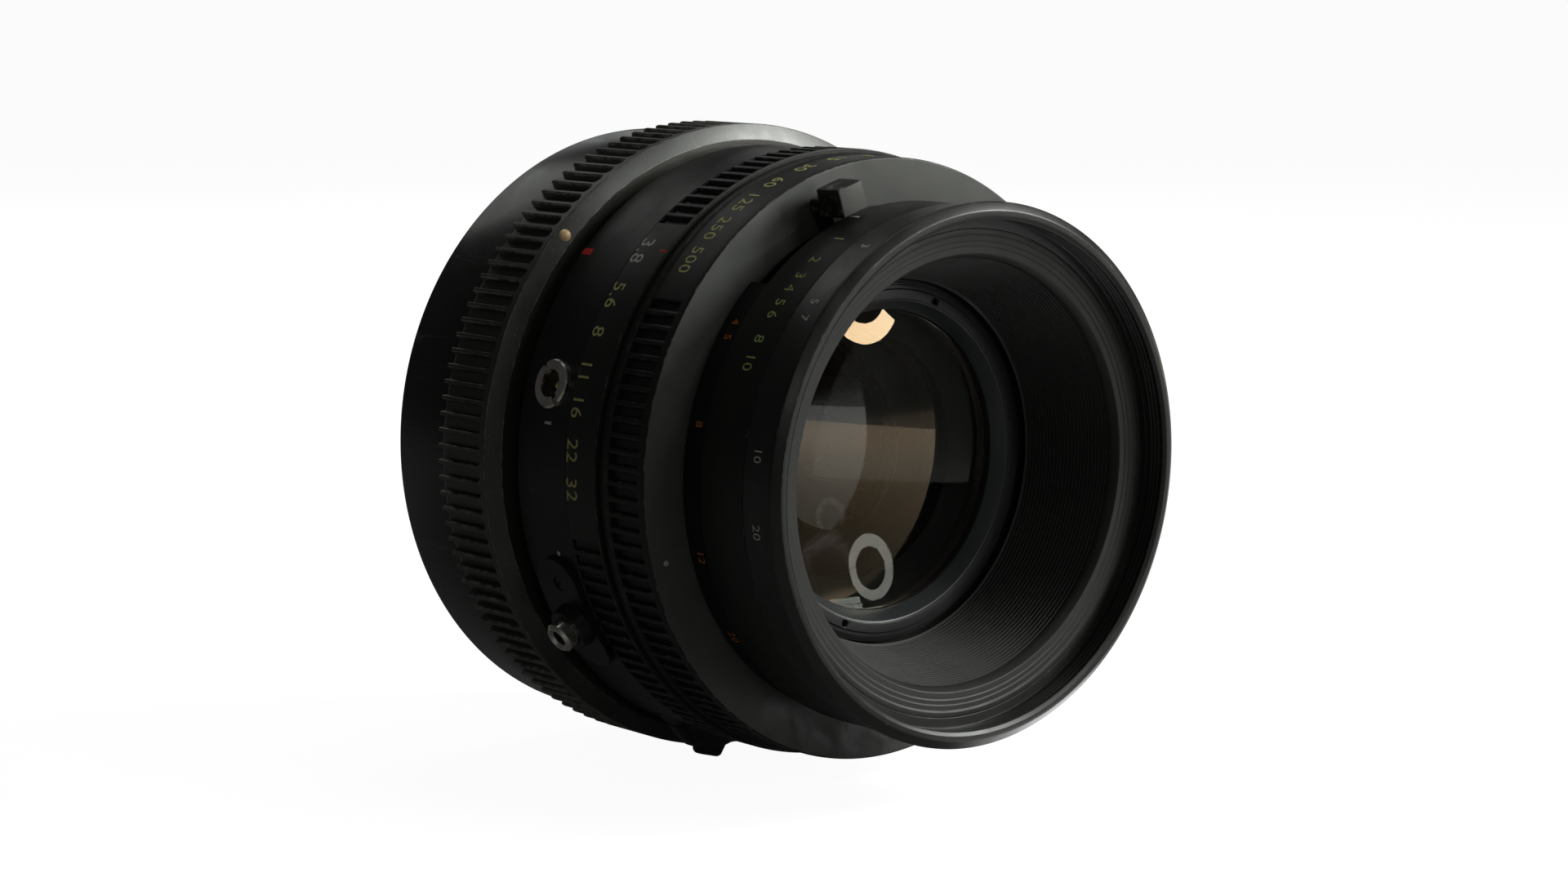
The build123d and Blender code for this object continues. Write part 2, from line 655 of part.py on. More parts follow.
# Release pad: an oval plate curved to the barrel, with a tapered collar for the release socket
pad_foot_r = BARREL_R + REST_GAP
pad_shell = tube(WAIST_FRONT_X, BARREL_STEP_X, pad_foot_r, pad_top_r)
with BuildPart() as release_pad:
    with BuildSketch(radial_plane(PAD_MIDDLE_X, BARREL_R / 2, PAD_CLOCK)):
        SlotOverall(PAD_LENGTH, PAD_WIDTH, rotation=90)
    extrude(amount=BARREL_R)
    add(pad_shell.part, mode=Mode.INTERSECT)
    with BuildSketch(radial_plane(SOCKET_X, pad_foot_r, RELEASE_CLOCK)):
        Circle(PAD_COLLAR_R)
    extrude(amount=PAD_THICKNESS + PAD_COLLAR_RISE, taper=PAD_COLLAR_TAPER)
    with BuildSketch(radial_plane(SOCKET_X, pad_foot_r - OVERCUT, RELEASE_CLOCK)):
        Circle(RELEASE_R + SEATED_GAP)
    extrude(amount=PAD_THICKNESS + PAD_COLLAR_RISE + 2 * OVERCUT, mode=Mode.SUBTRACT)
    with BuildSketch(radial_plane(SOCKET_X, pad_foot_r - OVERCUT, PAD_SCREW_CLOCK)):
        Circle(PAD_SCREW_R + SEATED_GAP)
    extrude(amount=PAD_THICKNESS + 2 * OVERCUT, mode=Mode.SUBTRACT)
    with BuildSketch(radial_plane(SOCKET_X, pad_head_r, PAD_SCREW_CLOCK)):
        Circle(PAD_SCREW_HEAD_R + SEATED_GAP)
    extrude(amount=PAD_SCREW_SINK + OVERCUT, mode=Mode.SUBTRACT)
save(release_pad, "release_pad")

# Slotted screw sunk into the pad
pad_head_plane = radial_plane(SOCKET_X, pad_head_r + REST_GAP, PAD_SCREW_CLOCK)
with BuildPart() as pad_screw:
    with BuildSketch(pad_head_plane):
        Circle(PAD_SCREW_HEAD_R)
    extrude(amount=PAD_SCREW_HEAD_HEIGHT)
    with BuildSketch(pad_head_plane):
        Circle(PAD_SCREW_R)
    extrude(amount=-PAD_SCREW_LENGTH)
    with BuildSketch(pad_head_plane.offset(PAD_SCREW_HEAD_HEIGHT / 2)):
        Rectangle(3 * PAD_SCREW_HEAD_R, SCREW_SLOT_WIDTH, rotation=PAD_SCREW_TURN)
    extrude(amount=OVERCUT, mode=Mode.SUBTRACT)
save(pad_screw, "pad_screw")

# Release socket: a bright sleeve with a blind bore, and the plunger at its bottom
release_foot_r = release_seat_r + REST_GAP
release_floor_r = release_foot_r + RELEASE_FLOOR
release_top_r = BARREL_R + RELEASE_RISE
release_thread_floor_r = release_top_r - RELEASE_THREAD_LENGTH
with BuildPart() as release_sleeve:
    with BuildSketch(radial_plane(SOCKET_X, release_foot_r, RELEASE_CLOCK)):
        Circle(RELEASE_R)
    extrude(amount=release_top_r - release_foot_r)
    with BuildSketch(radial_plane(SOCKET_X, release_floor_r, RELEASE_CLOCK)):
        Circle(RELEASE_PIN_R + SEATED_GAP)
    extrude(amount=release_top_r - release_floor_r, mode=Mode.SUBTRACT)
    with BuildSketch(radial_plane(SOCKET_X, release_thread_floor_r, RELEASE_CLOCK)):
        Circle(RELEASE_BORE_R)
    extrude(amount=RELEASE_THREAD_LENGTH, mode=Mode.SUBTRACT)
    release_rims = release_sleeve.edges().filter_by(GeomType.CIRCLE)
    chamfer(above(release_rims, RELEASE_CLOCK, release_top_r), length=RELEASE_BEVEL)
save(release_sleeve, "release_sleeve")

with BuildPart() as release_pin:
    with BuildSketch(radial_plane(SOCKET_X, release_floor_r, RELEASE_CLOCK)):
        Circle(RELEASE_PIN_R)
    extrude(amount=RELEASE_PIN_LENGTH)
save(release_pin, "release_pin")

# Time lever: a curved plate that slides on the barrel, its stem in the slot and a thumb knob
lever_foot_r = BARREL_R + RUNNING_GAP
lever_top_r = lever_foot_r + LEVER_PLATE_THICKNESS
knob_foot_r = lever_foot_r + LEVER_PLATE_THICKNESS / 2
lever_plate = sector(
    LEVER_REAR_X, LEVER_FRONT_X, lever_foot_r, lever_top_r, LEVER_PLATE_CLOCK, LEVER_PLATE_ARC
)
lever_stem = sector(
    lever_stem_rear_x, lever_stem_front_x, lever_stem_foot_r, knob_foot_r, LEVER_PLATE_CLOCK, LEVER_STEM_ARC
)
with BuildPart() as time_lever:
    add([lever_plate.part, lever_stem.part])
    with BuildSketch(radial_plane(lever_middle_x, knob_foot_r, LEVER_CLOCK)):
        SlotOverall(KNOB_LENGTH, KNOB_WIDTH, rotation=90)
    extrude(amount=lever_top_r + KNOB_RISE - knob_foot_r, taper=KNOB_TAPER)
    fillet(time_lever.faces().sort_by(Axis.Z)[0].edges(), radius=KNOB_ROUND)
save(time_lever, "time_lever")

# Click ball in the barrel, under the dimples of the aperture ring
with BuildPart() as click_ball:
    with Locations(radial_plane(BALL_X, ball_middle_r, BALL_CLOCK)):
        Sphere(BALL_R)
save(click_ball, "click_ball")

# Aperture ring: ribs with a plain zone for the numbers, and click dimples inside
aperture_groove_end_x = APERTURE_FRONT_X - RING_BEVEL
aperture_groove = groove(
    APERTURE_REAR_X - OVERCUT, aperture_groove_end_x, RING_GROOVE_WIDTH, APERTURE_R, RING_GROOVE_DEPTH, False
)
aperture_grooves = grooves(
    aperture_groove, RING_RIBS, APERTURE_GROOVE_CLOCK, APERTURE_RIBS_FROM, APERTURE_RIBS_TO
)
dimples = [
    radial_plane(BALL_X, ball_middle_r, BALL_CLOCK + CLICK_FIRST - CLICK_ANGLE * stop)
    for stop in range(CLICK_COUNT)
]
with BuildPart() as aperture_ring:
    with BuildSketch(Plane.XZ):
        with BuildLine():
            Polyline(
                (APERTURE_REAR_X, RING_SEAT_R + RUNNING_GAP),
                (APERTURE_REAR_X, APERTURE_R),
                (APERTURE_FRONT_X - RING_BEVEL, APERTURE_R),
                (APERTURE_FRONT_X, APERTURE_R - RING_BEVEL),
                (APERTURE_FRONT_X, RING_SEAT_R + RUNNING_GAP),
                close=True,
            )
        make_face()
    revolve(axis=Axis.X)
    add(aperture_grooves, mode=Mode.SUBTRACT)
    with Locations(*dimples):
        Sphere(BALL_R + DIMPLE_DEPTH, mode=Mode.SUBTRACT)
save(aperture_ring, "aperture_ring")

# Shutter speed ring: a raised rear edge, ribs with a plain zone, and a wide flat front face
speed_groove = groove(
    SPEED_RIBS_REAR_X, SPEED_RIBS_FRONT_X, RING_GROOVE_WIDTH, SPEED_R, RING_GROOVE_DEPTH, False
)
speed_grooves = grooves(speed_groove, RING_RIBS, SPEED_GROOVE_CLOCK, SPEED_RIBS_FROM, SPEED_RIBS_TO)
speed_wall_x = SPEED_FRONT_X - SPEED_FACE_WALL
with BuildPart() as speed_ring:
    with BuildSketch(Plane.XZ):
        with BuildLine():
            Polyline(
                (SPEED_REAR_X, RING_SEAT_R + RUNNING_GAP),
                (SPEED_REAR_X, SPEED_R),
                (SPEED_REAR_X + RING_BEVEL, SPEED_LEDGE_R),
                (SPEED_RIBS_REAR_X - RING_BEVEL, SPEED_LEDGE_R),
                (SPEED_RIBS_REAR_X, SPEED_R),
                (SPEED_FRONT_X - RING_BEVEL, SPEED_R),
                (SPEED_FRONT_X, SPEED_R - RING_BEVEL),
                (SPEED_FRONT_X, TUBE_R + RUNNING_GAP),
                (speed_wall_x, TUBE_R + RUNNING_GAP),
                (speed_wall_x, RING_SEAT_R + RUNNING_GAP),
                close=True,
            )
        make_face()
    revolve(axis=Axis.X)
    add(speed_grooves, mode=Mode.SUBTRACT)
save(speed_ring, "speed_ring")

# Fixed scale ring, slotted for the stem of the preview lever
scale_tube = tube(SCALE_REAR_X, SCALE_FRONT_X, TUBE_R + SEATED_GAP, SCALE_R)
scale_slot = sector(
    SCALE_REAR_X - OVERCUT, SCALE_FRONT_X + OVERCUT, TUBE_R - OVERCUT, SCALE_R + OVERCUT,
    slot_clock, SLOT_ARC,
)
with BuildPart() as scale_ring:
    add(scale_tube.part)
    add(scale_slot.part, mode=Mode.SUBTRACT)
save(scale_ring, "scale_ring")

# Rotating depth of field ring round the front tube
with BuildPart() as depth_ring:
    with BuildSketch(Plane.XZ):
        with BuildLine():
            Polyline(
                (DEPTH_REAR_X, TUBE_R + RUNNING_GAP),
                (DEPTH_REAR_X, DEPTH_R - DEPTH_BEVEL),
                (DEPTH_REAR_X + DEPTH_BEVEL, DEPTH_R),
                (DEPTH_FRONT_X, DEPTH_R),
                (DEPTH_FRONT_X, TUBE_R + RUNNING_GAP),
                close=True,
            )
        make_face()
    revolve(axis=Axis.X)
save(depth_ring, "depth_ring")

# Preview lever: a ring inside the tube, an arm to the iris and a stem through the slot
preview_rear_x = SCALE_REAR_X + END_GAP
preview_front_x = SCALE_FRONT_X - END_GAP
preview_ring_r = TUBE_BORE_R - RUNNING_GAP
tab_foot_r = DEPTH_R + TAB_LIFT
tab_top_r = tab_foot_r + TAB_HEIGHT
preview_tube = tube(preview_rear_x, preview_front_x, PREVIEW_RING_BORE_R, preview_ring_r)
preview_stem = sector(
    preview_rear_x, preview_front_x, preview_ring_r - PREVIEW_OVERLAP, tab_foot_r - REST_GAP,
    TAB_CLOCK, TAB_STEM_ARC,
)
preview_arm = sector(
    PREVIEW_ARM_REAR_X, preview_rear_x + PREVIEW_OVERLAP,
    PREVIEW_RING_BORE_R + PREVIEW_ARM_INSET, preview_ring_r - 2 * PREVIEW_ARM_INSET,
    TAB_CLOCK + 180, PREVIEW_ARM_ARC,
)
with BuildPart() as preview_lever:
    add([preview_tube.part, preview_stem.part, preview_arm.part])
save(preview_lever, "preview_lever")

# Finger tab on the stem of the preview lever
with BuildPart() as preview_tab:
    with BuildSketch(radial_plane(preview_rear_x, tab_foot_r, TAB_CLOCK)):
        Rectangle(TAB_FRONT_X - preview_rear_x, TAB_WIDTH, align=(Align.MIN, Align.CENTER))
    extrude(amount=TAB_HEIGHT)
    fillet(above(preview_tab.edges(), TAB_CLOCK, tab_top_r), radius=TAB_ROUND)
save(preview_tab, "preview_tab")

# Filter ring: a spigot into the front tube, the filter thread and the bevelled rim
with BuildPart() as filter_ring:
    with BuildSketch(Plane.XZ):
        with BuildLine():
            Polyline(
                (SPIGOT_REAR_X, SPIGOT_BORE_R),
                (SPIGOT_REAR_X, TUBE_BORE_R - SEATED_GAP),
                (RIM_REAR_X, TUBE_BORE_R - SEATED_GAP),
                (RIM_REAR_X, FRONT_R),
                (RIM_STEP_X, FRONT_R),
                (RIM_STEP_X, RIM_R),
                (RIM_BEVEL_X, RIM_R),
                (LIP_X, LIP_OUTER_R),
                (LIP_X, LIP_INNER_R),
                (THREAD_FRONT_X, FILTER_THREAD_R),
                (LEDGE_X, FILTER_THREAD_R),
                (LEDGE_X, RECESS_R),
                (RECESS_X, RECESS_R),
                (RECESS_X, SPIGOT_BORE_R),
                close=True,
            )
        make_face()
    revolve(axis=Axis.X)
save(filter_ring, "filter_ring")

# Light baffle: a stepped flange behind the filter thread and a cone down to the glass
baffle_steps = [(LEDGE_X - drop, RECESS_R - inset) for inset, drop in BAFFLE_STEPS]
with BuildPart() as baffle_cone:
    with BuildSketch(Plane.XZ):
        with BuildLine():
            Polyline(
                (RECESS_X, RECESS_R - SEATED_GAP),
                (LEDGE_X, RECESS_R - SEATED_GAP),
                *baffle_steps,
                (baffle_steps[-1][0], BAFFLE_FLANGE_BORE_R),
                (CONE_MOUTH_X, CONE_MOUTH_R),
                (CONE_THROAT_X, CONE_THROAT_R),
                (CONE_THROAT_X, CONE_THROAT_R + CONE_WALL),
                (CONE_MOUTH_X - CONE_BACK_STEP, CONE_MOUTH_R + CONE_WALL),
                (RECESS_X, BAFFLE_FLANGE_BORE_R + CONE_WALL),
                close=True,
            )
        make_face()
    revolve(axis=Axis.X)
save(baffle_cone, "baffle_cone")

# Front cell: the tube that carries the front group, with its mounting flange and light collar
with BuildPart() as front_cell:
    with BuildSketch(Plane.XZ):
        with BuildLine():
            Polyline(
                (FRONT_CELL_REAR_X, CELL_LIGHT_R),
                (FRONT_CELL_REAR_X, TUBE_BORE_R - SEATED_GAP),
                (FRONT_CELL_REAR_X + CELL_FLANGE, TUBE_BORE_R - SEATED_GAP),
                (FRONT_CELL_REAR_X + CELL_FLANGE, CELL_R),
                (COLLAR_REAR_X, CELL_R),
                (COLLAR_REAR_X, COLLAR_R),
                (COLLAR_FRONT_X, COLLAR_R),
                (COLLAR_FRONT_X, CELL_R),
                (FRONT_CELL_FRONT_X, CELL_R),
                (FRONT_CELL_FRONT_X, RETAINER_BODY_R + SEATED_GAP),
                (RETAINER_REAR_X, RETAINER_BODY_R + SEATED_GAP),
                (RETAINER_REAR_X, FRONT_GLASS_R + SEATED_GAP),
                (FRONT_GLASS_SEAT_X, FRONT_GLASS_R + SEATED_GAP),
                (FRONT_GLASS_SEAT_X, SPACER_R),
                (SECOND_GLASS_FRONT_X, SPACER_R),
                (SECOND_GLASS_FRONT_X, SECOND_GLASS_R + SEATED_GAP),
                (SECOND_GLASS_REAR_X - SEATED_GAP, SECOND_GLASS_R + SEATED_GAP),
                (SECOND_GLASS_REAR_X - SEATED_GAP, CELL_LIGHT_R),
                close=True,
            )
        make_face()
    revolve(axis=Axis.X)
save(front_cell, "front_cell")

# Retainer of the front glass: stepped front face, with two holes for a pin spanner
with BuildPart() as front_retainer:
    with BuildSketch(Plane.XZ):
        with BuildLine():
            Polyline(
                (RETAINER_REAR_X + REST_GAP, RETAINER_BORE_R),
                (RETAINER_REAR_X + REST_GAP, RETAINER_BODY_R),
                (RETAINER_FLANGE_X, RETAINER_BODY_R),
                (RETAINER_FLANGE_X, CELL_R),
                (RETAINER_FRONT_X - RETAINER_STEP, CELL_R),
                (RETAINER_FRONT_X - RETAINER_STEP, RETAINER_BODY_R + RETAINER_STEP),
                (RETAINER_FRONT_X, RETAINER_BODY_R),
                (RETAINER_FRONT_X, RETAINER_RIDGE_R),
                (RETAINER_FRONT_X - RETAINER_STEP, RETAINER_RIDGE_R - RETAINER_STEP),
                (RETAINER_FRONT_X - RETAINER_STEP, RETAINER_BEVEL_R),
                (RETAINER_FLANGE_X, RETAINER_LIP_R),
                close=True,
            )
        make_face()
    revolve(axis=Axis.X)
    with BuildSketch(Plane.YZ.offset(RETAINER_FRONT_X)):
        with PolarLocations(PIN_HOLE_PITCH_R, 2, start_angle=PIN_HOLE_CLOCK):
            Circle(PIN_HOLE_R)
    extrude(amount=-PIN_HOLE_DEPTH, mode=Mode.SUBTRACT)
save(front_retainer, "front_retainer")

# Glasses of the front group and the spacer between them
front_glass = lens_glass(
    FRONT_GLASS_REAR_X, FRONT_GLASS_FRONT_X, FRONT_GLASS_R, FRONT_GLASS_REAR_CURVE, FRONT_GLASS_FRONT_CURVE
)
save(front_glass, "front_glass")
second_glass = lens_glass(
    SECOND_GLASS_REAR_X, SECOND_GLASS_FRONT_X, SECOND_GLASS_R,
    SECOND_GLASS_REAR_CURVE, SECOND_GLASS_FRONT_CURVE,
)
save(second_glass, "second_glass")

front_spacer_rear_x = SECOND_GLASS_FRONT_X + REST_GAP
front_spacer_front_x = FRONT_GLASS_REAR_X - SPACER_CLEARANCE
with BuildPart() as front_spacer:
    with BuildSketch(Plane.XZ):
        with BuildLine():
            Polyline(
                (front_spacer_rear_x, SPACER_BORE_R),
                (front_spacer_rear_x, SPACER_R - SEATED_GAP),
                (front_spacer_front_x, SPACER_R - SEATED_GAP),
                (front_spacer_front_x, SPACER_R - SPACER_FRONT_WALL),
                close=True,
            )
        make_face()
    revolve(axis=Axis.X)
save(front_spacer, "front_spacer")

# Rear cell: the tube that carries the rear group behind the shutter
with BuildPart() as rear_cell:
    with BuildSketch(Plane.XZ):
        with BuildLine():
            Polyline(
                (REAR_CELL_REAR_X, REAR_RETAINER_R + SEATED_GAP),
                (REAR_CELL_REAR_X, REAR_CELL_R),
                (CASE_REAR_X, REAR_CELL_R),
                (CASE_REAR_X, REAR_LIGHT_R),
                (REAR_CELL_WALL_X, REAR_LIGHT_R + REAR_LIGHT_FLARE),
                (REAR_CELL_WALL_X, REAR_GLASS_R + SEATED_GAP),
                (REAR_SEAT_X, REAR_GLASS_R + SEATED_GAP),
                (REAR_SEAT_X, REAR_RETAINER_R + SEATED_GAP),
                close=True,
            )
        make_face()
    revolve(axis=Axis.X)
save(rear_cell, "rear_cell")

# Glasses of the rear group, the spacer between them and their slotted retainer
third_glass = lens_glass(
    THIRD_GLASS_REAR_X, THIRD_GLASS_FRONT_X, REAR_GLASS_R, THIRD_GLASS_REAR_CURVE, THIRD_GLASS_FRONT_CURVE
)
save(third_glass, "third_glass")
rear_glass = lens_glass(
    REAR_GLASS_REAR_X, REAR_GLASS_FRONT_X, REAR_GLASS_R, REAR_GLASS_REAR_CURVE, REAR_GLASS_FRONT_CURVE
)
save(rear_glass, "rear_glass")
rear_spacer_r = REAR_GLASS_R - SEATED_GAP
rear_spacer = tube(REAR_SPACER_REAR_X, REAR_SPACER_FRONT_X, rear_spacer_r - REAR_SPACER_WALL, rear_spacer_r)
save(rear_spacer, "rear_spacer")

with BuildPart() as rear_retainer:
    with BuildSketch(Plane.XZ):
        with BuildLine():
            Polyline(
                (REAR_CELL_REAR_X, REAR_RETAINER_BORE_R + REAR_RETAINER_FLARE),
                (REAR_CELL_REAR_X, REAR_RETAINER_R),
                (REAR_SEAT_X - SEATED_GAP, REAR_RETAINER_R),
                (REAR_SEAT_X - SEATED_GAP, REAR_RETAINER_BORE_R),
                (REAR_CELL_REAR_X + REAR_RETAINER_FLARE_DEPTH, REAR_RETAINER_BORE_R),
                close=True,
            )
        make_face()
    revolve(axis=Axis.X)
    with BuildSketch(Plane.YZ.offset(REAR_CELL_REAR_X)):
        with PolarLocations(REAR_RETAINER_PITCH_R, 2):
            Rectangle(REAR_SLOT_LENGTH, REAR_SLOT_WIDTH)
    extrude(amount=REAR_SLOT_DEPTH, mode=Mode.SUBTRACT)
save(rear_retainer, "rear_retainer")

# Shutter housing with the iris posts on its rear wall
case_floor_x = CASE_REAR_X + CASE_FLOOR
with BuildPart() as shutter_case:
    with BuildSketch(Plane.YZ.offset(CASE_REAR_X)):
        Circle(CASE_BORE_R - SEATED_GAP)
        Circle(LIGHT_R, mode=Mode.SUBTRACT)
    extrude(amount=CASE_FLOOR)
    with BuildSketch(Plane.YZ.offset(case_floor_x)):
        Circle(CASE_BORE_R - SEATED_GAP)
        Circle(CASE_WALL_R, mode=Mode.SUBTRACT)
    extrude(amount=CASE_FRONT_X - case_floor_x)
    with BuildSketch(Plane.YZ.offset(case_floor_x)):
        with PolarLocations(IRIS_PIVOT_R, BLADE_COUNT, start_angle=IRIS_FIRST_CLOCK):
            Circle(POST_R)
    extrude(amount=DIVIDER_X - case_floor_x)
save(shutter_case, "shutter_case")

# Plate between the iris blades and the shutter blades
divider_front_x = DIVIDER_X + DIVIDER_THICKNESS
divider_plate = tube(DIVIDER_X, divider_front_x, LIGHT_R, CASE_WALL_R - SEATED_GAP)
save(divider_plate, "divider_plate")

# Front plate of the shutter with the shutter posts
with BuildPart() as cover_plate:
    with BuildSketch(Plane.YZ.offset(COVER_X)):
        Circle(CASE_WALL_R - SEATED_GAP)
        Circle(LIGHT_R, mode=Mode.SUBTRACT)
    extrude(amount=COVER_THICKNESS)
    with BuildSketch(Plane.YZ.offset(COVER_X)):
        with PolarLocations(SHUTTER_PIVOT_R, BLADE_COUNT):
            Circle(POST_R)
    extrude(amount=divider_front_x - COVER_X)
save(cover_plate, "cover_plate")

# Five iris blades and five shutter blades, each on a level of its own
for number in range(BLADE_COUNT):
    blade_clock = 360 / BLADE_COUNT * number
    iris_clock = IRIS_FIRST_CLOCK + blade_clock
    iris_blade = crescent_blade(IRIS_FIRST_X, number, IRIS_PIVOT_R, IRIS_EDGE_R, iris_clock)
    save(iris_blade, f"iris_blade_{number + 1}")
    shutter_blade = crescent_blade(SHUTTER_FIRST_X, number, SHUTTER_PIVOT_R, SHUTTER_EDGE_R, blade_clock)
    save(shutter_blade, f"shutter_blade_{number + 1}")

# Cocking ring behind the shutter, with the two pins that reach through the flange
cocking_tube = tube(
    FLANGE_THICKNESS + END_GAP, CASE_REAR_X - END_GAP, COCKING_RING_BORE_R, COCKING_RING_R
)
with BuildPart() as cocking_ring:
    add(cocking_tube.part)
    with BuildSketch(Plane.YZ.offset(COCKING_PIN_END_X)):
        with PolarLocations(COCKING_R, 2):
            Circle(COCKING_PIN_R)
    extrude(amount=FLANGE_THICKNESS + OVERCUT - COCKING_PIN_END_X)
save(cocking_ring, "cocking_ring")
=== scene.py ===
"""Looks of a black leaf shutter lens for a medium format camera, lying on its side with its rear cap on.

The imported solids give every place. Sizes here are millimetres unless a name says otherwise. The optical axis
is X, the front glass faces +X, and a clock angle is in degrees about X, from +Y towards +Z: 90 is the top and
180 is the side with the sockets.
"""

import functools
import logging
import math
from dataclasses import dataclass, field
from enum import Enum

import bmesh
import bpy
import numpy as np
from mathutils import Matrix, Vector


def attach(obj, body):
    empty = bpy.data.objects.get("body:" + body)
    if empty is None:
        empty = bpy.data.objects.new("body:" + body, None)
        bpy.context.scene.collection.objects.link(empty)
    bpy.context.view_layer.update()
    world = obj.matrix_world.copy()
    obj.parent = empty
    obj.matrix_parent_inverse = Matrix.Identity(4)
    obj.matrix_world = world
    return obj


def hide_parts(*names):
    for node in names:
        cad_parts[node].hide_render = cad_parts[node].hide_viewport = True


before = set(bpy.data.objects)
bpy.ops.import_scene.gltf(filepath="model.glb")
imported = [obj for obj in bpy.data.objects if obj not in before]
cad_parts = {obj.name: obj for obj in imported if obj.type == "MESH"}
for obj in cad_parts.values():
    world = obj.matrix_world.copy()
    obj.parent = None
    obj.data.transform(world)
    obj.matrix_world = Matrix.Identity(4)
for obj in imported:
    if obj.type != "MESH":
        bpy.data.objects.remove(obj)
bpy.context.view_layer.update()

Colour = tuple[float, float, float]
Piece = bpy.types.Object
Socket = bpy.types.NodeSocket

LOG = logging.getLogger("lens")
MM = 0.001
ROUND_COLUMNS = 256
SHARP_DEGREES = 42.0
SAME_POINT = 1e-5
SHORTEST_SIDE = 1e-9
MERGE_METRES = 1e-7

# A rounding takes no more than this share of a side
SIDE_SHARE = 0.45

# How near a wall a row, and how near it the middle of a face, must lie to count as part of it
ROW_SLACK = 0.1
FACE_SLACK = 0.2


class Around(Enum):
    """Which way the tops of printed numbers point."""

    FRONT = 1
    REAR = -1


# Mesh arrays


@dataclass
class Skin:
    """Vertices in millimetres, faces by index, and how exposed to wear each vertex is."""

    points: np.ndarray
    faces: list[list[int]]
    wear: np.ndarray

    def joined(self, other: "Skin") -> "Skin":
        """This skin and another as one."""
        shift = len(self.points)
        moved = [[index + shift for index in face] for face in other.faces]
        points = np.concatenate([self.points, other.points])
        return Skin(points, self.faces + moved, np.concatenate([self.wear, other.wear]))


def rounded(corners: list[tuple[float, float, float]], closed: bool = True, steps: int = 5) -> np.ndarray:
    """A profile with its corners rounded.

    Each corner becomes a quadratic curve between two points on its sides, (1-t)^2 A + 2t(1-t) P + t^2 B,
    where A and B lie the corner's own size away from the corner P, or a share of the side where that is less.

    Args:
        corners: station x, radius r and size of rounding of each corner.
        closed: whether the last corner joins the first.
        steps: points on each rounding.

    Returns:
        Rows of x, r and wear, where wear is 1 at the middle of a rounding and 0 on the sides.
    """
    table = np.array(corners, dtype=float)
    point = table[:, :2]
    before = np.roll(point, 1, axis=0) - point
    after = np.roll(point, -1, axis=0) - point
    before_length = np.maximum(np.linalg.norm(before, axis=1), SHORTEST_SIDE)
    after_length = np.maximum(np.linalg.norm(after, axis=1), SHORTEST_SIDE)
    size = np.minimum(table[:, 2], SIDE_SHARE * np.minimum(before_length, after_length))
    if not closed:
        size[[0, -1]] = 0.0
    start = point + before / before_length[:, None] * size[:, None]
    end = point + after / after_length[:, None] * size[:, None]
    t = np.linspace(0.0, 1.0, steps)[None, :, None]
    curve = (1 - t) ** 2 * start[:, None] + 2 * t * (1 - t) * point[:, None] + t**2 * end[:, None]
    exposed = np.sin(np.pi * t[..., 0]) * (size > 0)[:, None]
    rows = np.column_stack([curve.reshape(-1, 2), exposed.ravel()])
    step = np.linalg.norm(np.diff(rows[:, :2], axis=0), axis=1)
    rows = rows[np.concatenate([[True], step > SAME_POINT])]
    if closed and np.linalg.norm(rows[0, :2] - rows[-1, :2]) < SAME_POINT:
        rows = rows[:-1]
    return rows


def grid(
    x: np.ndarray, radius: np.ndarray, clock: np.ndarray, wear: np.ndarray, closed: bool, full: bool = True
) -> Skin:
    """A skin over a grid of stations, radii and clock angles.

    A vertex is (x, r cos c, r sin c). Rows run along the profile and columns run round the axis.

    Args:
        x: stations, rows by columns.
        radius: radii of the same shape.
        clock: clock angles in degrees, of the same shape.
        wear: exposure to wear, of the same shape.
        closed: whether the last row joins the first.
        full: whether the last column joins the first.

    Returns:
        The skin, facing outwards where an outer wall runs towards +X.
    """
    angle = np.radians(clock)
    points = np.stack([x, radius * np.cos(angle), radius * np.sin(angle)], axis=-1)
    index = np.arange(x.size).reshape(x.shape)
    if closed:
        index = np.concatenate([index, index[:1]], axis=0)
    if full:
        index = np.concatenate([index, index[:, :1]], axis=1)
    quads = np.stack([index[:-1, :-1], index[:-1, 1:], index[1:, 1:], index[1:, :-1]], axis=-1)
    return Skin(points.reshape(-1, 3), quads.reshape(-1, 4).tolist(), wear.ravel().astype(float))


def swept(profile: np.ndarray, clocks: np.ndarray, closed: bool, full: bool) -> Skin:
    """A skin through copies of a profile.

    Args:
        profile: rows of x, r and wear, the outer wall running towards +X.
        clocks: the clock angle of each copy in degrees.
        closed: whether the profile is a loop.
        full: whether the last copy joins the first.

    Returns:
        The skin.
    """
    shape = (len(profile), len(clocks))
    x, radius, wear = (np.broadcast_to(column[:, None], shape) for column in profile.T)
    return grid(x, radius, np.broadcast_to(clocks, shape), wear, closed, full)


def lathe(profile: np.ndarray, closed: bool = True, columns: int = ROUND_COLUMNS) -> Skin:
    """A profile of x, r and wear turned about the optical axis."""
    return swept(profile, np.linspace(0.0, 360.0, columns, endpoint=False), closed, True)


def capped(skin: Skin, rows: int, columns: int) -> Skin:
    """A skin over part of a turn, with a flat face added at each end."""
    first = np.arange(rows) * columns
    ends = [first.tolist(), (first + columns - 1)[::-1].tolist()]
    return Skin(skin.points, skin.faces + ends, skin.wear)


def arc_bar(profile: np.ndarray, clock: float, arc: float, columns: int) -> Skin:
    """A closed profile carried round part of a turn, with flat ends.

    Args:
        profile: rows of x, r and wear, its outer wall running towards +X.
        clock: the middle of the arc in degrees.
        arc: the whole arc in degrees.
        columns: columns from end to end.

    Returns:
        The closed skin.
    """
    clocks = np.linspace(clock - arc / 2, clock + arc / 2, columns)
    return capped(swept(profile, clocks, True, False), len(profile), columns)


